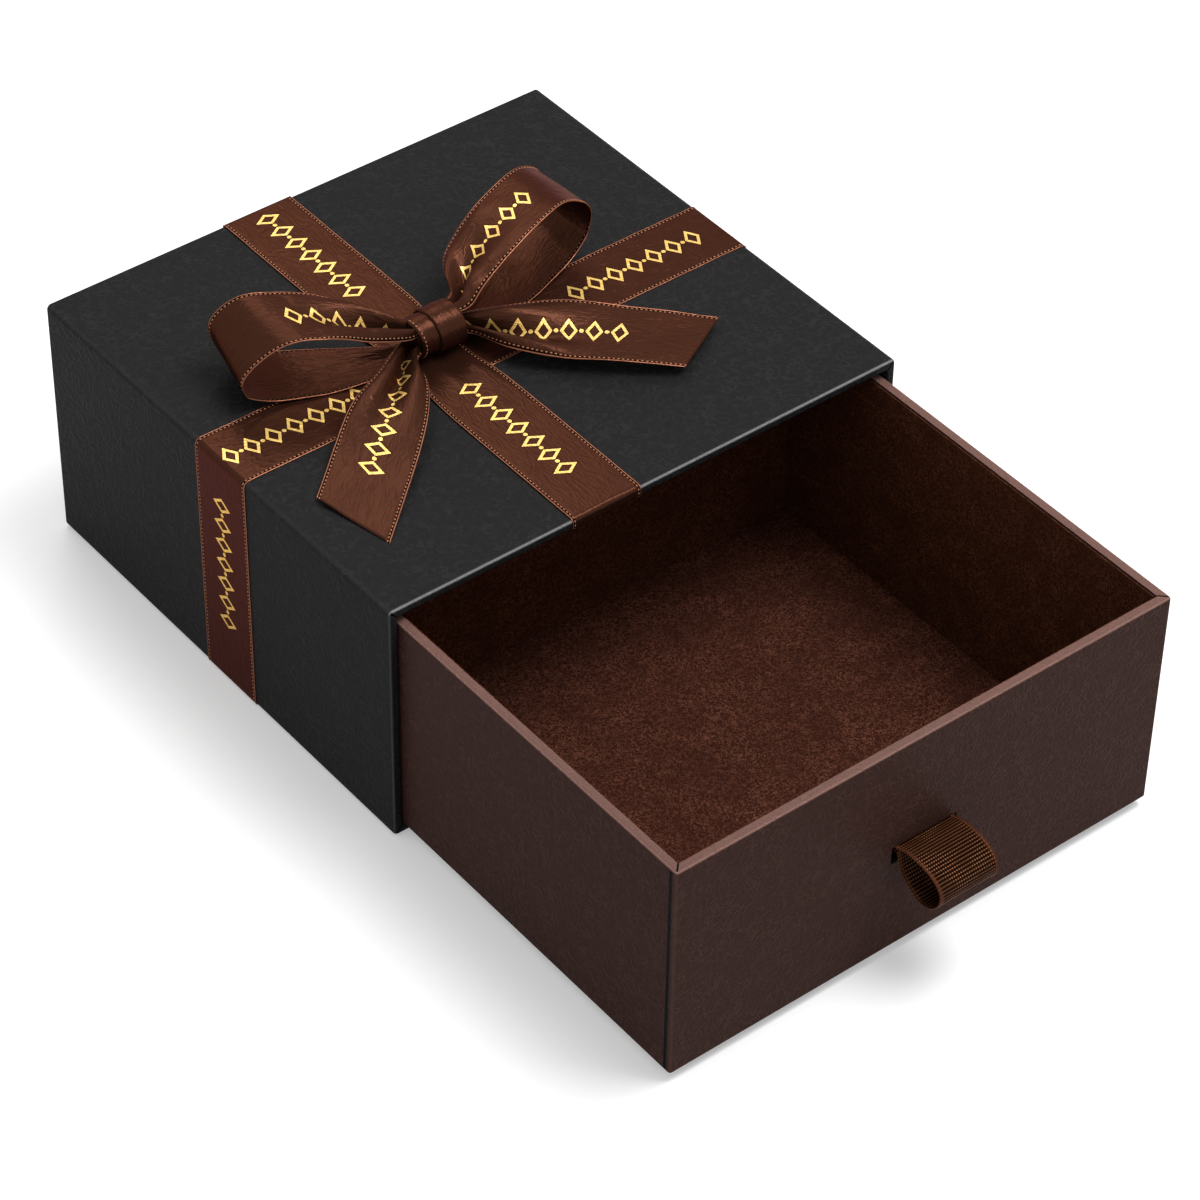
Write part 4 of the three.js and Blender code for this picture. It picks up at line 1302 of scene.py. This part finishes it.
def makeBand(look):
    # each row lies across the ribbon at its place. The cloth's width is kept: what the gather
    # takes away goes into a valley and a ridge on either side of it, so their depth is
    # half width * sqrt(1 - gather ^ 2) / 3, shaped as -cos(1.5 pi u), and the ridges lean inwards
    rows = throughPoints(look["shares"], bow["rowsPerSpan"])
    side, root, halfWidth = look["side"], bow["root"], ribbon["width"] / 2
    high = np.where(rows[:, 2] > 0, look["rise"], bow["bedDrop"])
    x = side * (root + rows[:, 0] * (look["reach"] - root))
    place = np.stack([x, rows[:, 1] * look["sweep"], rows[:, 2] * high], -1)
    heading, across = unit(np.gradient(place, axis=0)), unit(rows[:, 5:8])
    outwards = unit(np.cross(heading, across)) * side
    cloth = clothPlaces(ribbon, bow["columns"])
    u = cloth / cloth[-1]
    v = u - look["valley"]
    v = np.where(v > 0, v / (1 - look["valley"]), v / (1 + look["valley"]))
    gather = np.clip(rows[:, 3], 0, 1)
    depth = (rows[:, 4] * halfWidth * np.sqrt(1 - gather ** 2) / 3)[:, None]
    slanted = (np.linspace(0, 1, len(rows)) - bow["slantFrom"]) / (1 - bow["slantFrom"])
    slanted = look["slant"] * np.maximum(0, slanted)[:, None] * u
    sideways = (gather * halfWidth)[:, None] * u - bow["lean"] * depth * np.sin(math.pi * v)
    along = lengthAlong(place)
    fromRoot = np.minimum(along, along[-1] - along) if look["rise"] else along
    stretched = fromRoot[:, None] * bow["wrinkleStretch"]
    fine = waves(stretched, cloth[None], bow["wrinkleSize"], look["seed"]) * bow["wrinkle"]
    fine = fine * np.exp(-fromRoot / bow["wrinkleReach"])[:, None]
    looseSeed = look["seed"] + bow["looseSeed"]
    loose = waves(along[:, None], cloth[None], bow["looseSize"], looseSeed) * bow["loose"]
    upwards = -depth * np.cos(bow["ridgesPerHalf"] * math.pi * v) + fine + loose
    grid = place[:, None] + across[:, None] * sideways[..., None]
    grid = grid + outwards[:, None] * upwards[..., None] + heading[:, None] * slanted[..., None]
    grid = grid + knotPlace
    middle = len(grid) // 2
    normal = surfaceNormals(grid)[middle, len(cloth) // 2]
    outward = 1 if normal @ outwards[middle] > 0 else -1
    addRibbon(look, grid, outward, cloth, look["marks"])


# Knot: two turns of ribbon about the bow's length, round a gathered core

knot = dict(
    wraps=[
        dict(name="knot_wrap_right", at=6.0, half=9.9, radius=15.3, lean=0.9, seed=1, stitched=()),
        dict(name="knot_wrap_left", at=-7.2, half=8.9, radius=13.2, lean=1.6, seed=4,
             stitched=(-1,)),
    ],
    lip=1.5,
    lipDrop=1.5,
    crown=0.5,
    acrossDepth=0.1,
    roundDepth=0.12,
    wander=1.4,
    leanTurn=0.5,
    thick=0.6,
    turns=120,
    columns=35,
    flatShare=2.2,  # flat width by the half width that shows
    coreHalf=15.5,
    coreRadius=10.5,
    coreSides=48,
    coreRows=25,
    flutes=5,
    fluteShare=0.06,
)


def wrapSurface(look):
    # radius falls off in a lip at either side, shallow creases run round it, and the turn leans
    turn = np.linspace(0, 2 * math.pi, knot["turns"], endpoint=False)[:, None]
    u = np.sin(np.linspace(-1, 1, knot["columns"])[None] * math.pi / 2)
    fromEdge = (1 - np.abs(u)) * look["half"]
    lip = knot["lipDrop"] * (1 - np.sqrt(1 - (1 - np.clip(fromEdge / knot["lip"], 0, 1)) ** 2))
    wander = knot["wander"] * np.sin(turn + look["seed"])
    crease = knot["acrossDepth"] * np.cos(2 * math.pi * u + wander)
    crease = crease + knot["roundDepth"] * np.sin(2 * turn + look["seed"])
    out = look["radius"] - lip - knot["crown"] * u ** 2 + crease
    x = look["at"] + u * look["half"] + look["lean"] * np.cos(turn + knot["leanTurn"])
    return np.stack([x, -out * np.cos(turn), out * np.sin(turn)], -1) + knotPlace, u[0]


def makeWrap(look):
    grid, u = wrapSurface(look)
    inward = unit((knotPlace - grid) * (0, 1, 1))
    points, faces = closedShell(grid, grid + inward * knot["thick"], True)
    cloth = u * look["half"]
    row, _, v = ribbonCorners(faces, cloth)
    closing = (row.max(1) - row.min(1) > 2)[:, None] & (row == 0)
    around = np.where(closing, knot["turns"], row) / knot["turns"] * 2 * math.pi * look["radius"]
    piece = addPiece(look["name"], points, faces, "sleeve", finish["plainSatin"],
                     {"cloth": np.stack([around, v], -1) * mm})
    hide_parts("bow_knot")
    sewn = []
    if look["stitched"]:
        closed, normals = (np.concatenate([rows, rows[:1]]) for rows in (grid, -inward))
        sewn = [addStitches(look["name"] + "_stitches", closed, normals, cloth, look["stitched"])]


def makeKnotCore():
    # a rounded bundle with shallow flutes: radius = sqrt(sin) from tip to tip
    sides, rows = knot["coreSides"], knot["coreRows"]
    turn = np.linspace(0, 2 * math.pi, sides, endpoint=False)[None]
    share = np.linspace(0, math.pi, rows)[:, None]
    flutes = 1 + knot["fluteShare"] * np.cos(knot["flutes"] * turn)
    radius = np.maximum(knot["coreRadius"] * np.sqrt(np.sin(share).clip(0)) * flutes, 0.01)
    x = -knot["coreHalf"] * np.cos(share) + 0 * turn
    points = np.stack([x, radius * np.cos(turn), radius * np.sin(turn)], -1) + knotPlace
    half = np.arange(sides // 2 - 1)
    tip = np.stack([half, half + 1, sides - 2 - half, sides - 1 - half], -1)
    faces = np.concatenate([
        gridFaces(rows, sides, False, True), tip[:, ::-1], tip + (rows - 1) * sides])
    addPiece("knot_core", points, faces, "sleeve", finish["plainSatin"],
             {"cloth": np.zeros((len(faces), 4, 2))})


# Pull ribbon

def pullLine():
    # up behind the front board, out through the slot, round the loop, back and down behind it
    look = pull
    outAt, glueAt = look["outAt"], look["glueAt"]
    top, bottom = (
        roundedLine([(glueAt, look[side + "End"]), (glueAt, look[side + "At"]),
                     (outAt, look[side + "At"])], look["bendRadius"])
        for side in ("upper", "lower"))
    straight = outAt - 2 * look["thick"]
    loop = [(outAt, look["upperAt"]), (straight, look["upperAt"])]
    loop += [(outAt - out * look["reach"], look["topAt"] - down * look["drop"])
             for out, down in look["shapeShares"]]
    loop += [(straight, look["lowerAt"]), (outAt, look["lowerAt"])]
    loop = throughPoints(loop, look["rowsPerSpan"])
    return np.concatenate([top[:-1], loop, bottom[::-1][1:]])


def makePull():
    look = pull
    line, along = evenly(pullLine(), look["ribPitch"] / look["stepsPerRib"])
    cloth = clothPlaces(look, look["middleColumns"])
    grid = stripGrid(line, cloth, 0, 1)
    normals = surfaceNormals(grid)
    outermost = int(np.argmin(line[:, 0]))
    normals = normals * (1 if normals[outermost, 0, 1] < 0 else -1)
    fromEdge = cloth[-1] - np.abs(cloth)
    rolls = look["rollRise"] * sum(
        share * bell(fromEdge, at, reach) for at, reach, share in look["rolls"])
    ribbed = smoothStep(*look["ribsFrom"], fromEdge)
    free = smoothStep(*look["freeFrom"], look["outAt"] - line[:, 0])[:, None]
    ribs = 0.5 * look["ribDepth"] * (np.cos(2 * math.pi * along / look["ribPitch"]) - 1)
    shown = look["gluedShare"] + (1 - look["gluedShare"]) * free
    relief = ribs[:, None] * ribbed[None] * shown + rolls[None] * free
    thin = roundedHalf(look["thick"], fromEdge)[None]
    outer = grid + normals * (thin + relief)[..., None]
    inner = grid - normals * (thin + look["innerShare"] * relief)[..., None]
    points, faces = closedShell(outer, inner)
    row, _, v = ribbonCorners(faces, cloth)
    piece = addPiece("pull_ribbon", points, faces, None, finish["grosgrain"],
                     {"cloth": np.stack([along[row], v], -1) * mm})
    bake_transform(piece)
    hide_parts("pull_loop", "pull_end_upper", "pull_end_lower")


# Boards, tapes and linings keep their solids

def finishSolids():
    given = {"greyboard": "board", "stay_tape": "tape", "lining_paper": "lining",
             "black_cover_paper": "black", "plum_cover_paper": "plum", "suede_liner": "suede",
             "satin_ribbon": "plainSatin", "grosgrain_ribbon": "grosgrain"}
    slots = {part["node"]: part["material_slot"] for part in frame["record"]["subparts"]}
    for node, part in frame["nodes"].items():
        for place in part.material_slots:
            place.material = finish[given[slots[node]]]


# Floor, world and lamps

studio = dict(
    floorSize=12000,
    floorColour="#e6e6e6",
    bounceColour="#a6a6a6",
    floorGlow=0.3,
    farGlow=0.5,
    farAt=(1500, 4000),
    ambient=0.6,
    lamps=dict(
        key=dict(power=52, size=1300, at=(680, -720, 2460)),
        top=dict(power=14, size=1200, at=(500, 1500, 2100)),
    ),
    aim=(-20, -150, 90),
)


def showBackdrop(tree, lit, shown):
    # the camera, and what reflections and glass see, get the pale backdrop
    path = addNode(tree, "LightPath")
    seen = path.outputs["Is Camera Ray"]
    for ray in ("Is Glossy Ray", "Is Transmission Ray"):
        seen = addNode(tree, "Math", {0: seen, 1: path.outputs[ray]}, operation="MAXIMUM")
    return addNode(tree, "MixShader", {0: seen, 1: lit, 2: shown})


def makeFloor():
    look = studio
    size = look["floorSize"] / 2 * mm
    mesh = bpy.data.meshes.new("floor")
    corners = [(-size, -size, 0), (size, -size, 0), (size, size, 0), (-size, size, 0)]
    mesh.from_pydata(corners, [], [(0, 1, 2, 3)])
    floor = bpy.data.objects.new("floor", mesh)
    bpy.context.scene.collection.objects.link(floor)
    material, tree, place = startMaterial("seamlessPaper")
    dimmer, plain = (addNode(tree, "BsdfDiffuse", {"Color": linear(look[key])})
                     for key in ("bounceColour", "floorColour"))
    away = addNode(tree, "VectorMath", {0: place}, operation="LENGTH").outputs["Value"]
    near, far = look["farAt"]
    glow = addNode(tree, "MapRange", {
        "Value": away, "From Min": near * mm, "From Max": far * mm,
        "To Min": look["floorGlow"], "To Max": look["farGlow"]})
    glow = addNode(tree, "Emission", {"Color": (1, 1, 1, 1), "Strength": glow})
    both = addNode(tree, "AddShader", {0: plain, 1: glow})
    addNode(tree, "OutputMaterial", {"Surface": showBackdrop(tree, dimmer, both)})
    mesh.materials.append(material)


def makeLight():
    world = bpy.data.worlds.new("studio")
    world.use_nodes = True
    tree = world.node_tree
    tree.nodes.clear()
    lit, shown = (addNode(tree, "Background", {"Color": (1, 1, 1, 1), "Strength": strength})
                  for strength in (studio["ambient"], 1.0))
    addNode(tree, "OutputWorld", {"Surface": showBackdrop(tree, lit, shown)})
    bpy.context.scene.world = world
    for name, look in studio["lamps"].items():
        lamp = bpy.data.lights.new(name, "AREA")
        lamp.energy = look["power"]
        lamp.size = look["size"] * mm
        holder = bpy.data.objects.new(name, lamp)
        holder.location = Vector(look["at"]) * mm
        toward = Vector(studio["aim"]) * mm - holder.location
        holder.rotation_euler = toward.to_track_quat("-Z", "Y").to_euler()
        bpy.context.scene.collection.objects.link(holder)
    bpy.context.scene.view_settings.view_transform = "Standard"


addCamera()
finishSolids()
buildSleevePaper()
buildDrawerPaper()
buildSlotShadeLining()
print("papers made")
buildCards()
print("suede cards made")
layRibbons()
print("ribbons made")
for band in (loopLeft, loopRight, tailFront, tailRight):
    makeBand(band)
for wrap in knot["wraps"]:
    makeWrap(wrap)
makeKnotCore()
print("bow made")
makePull()
print("pull ribbon made")
makeFloor()
makeLight()
print("studio made")
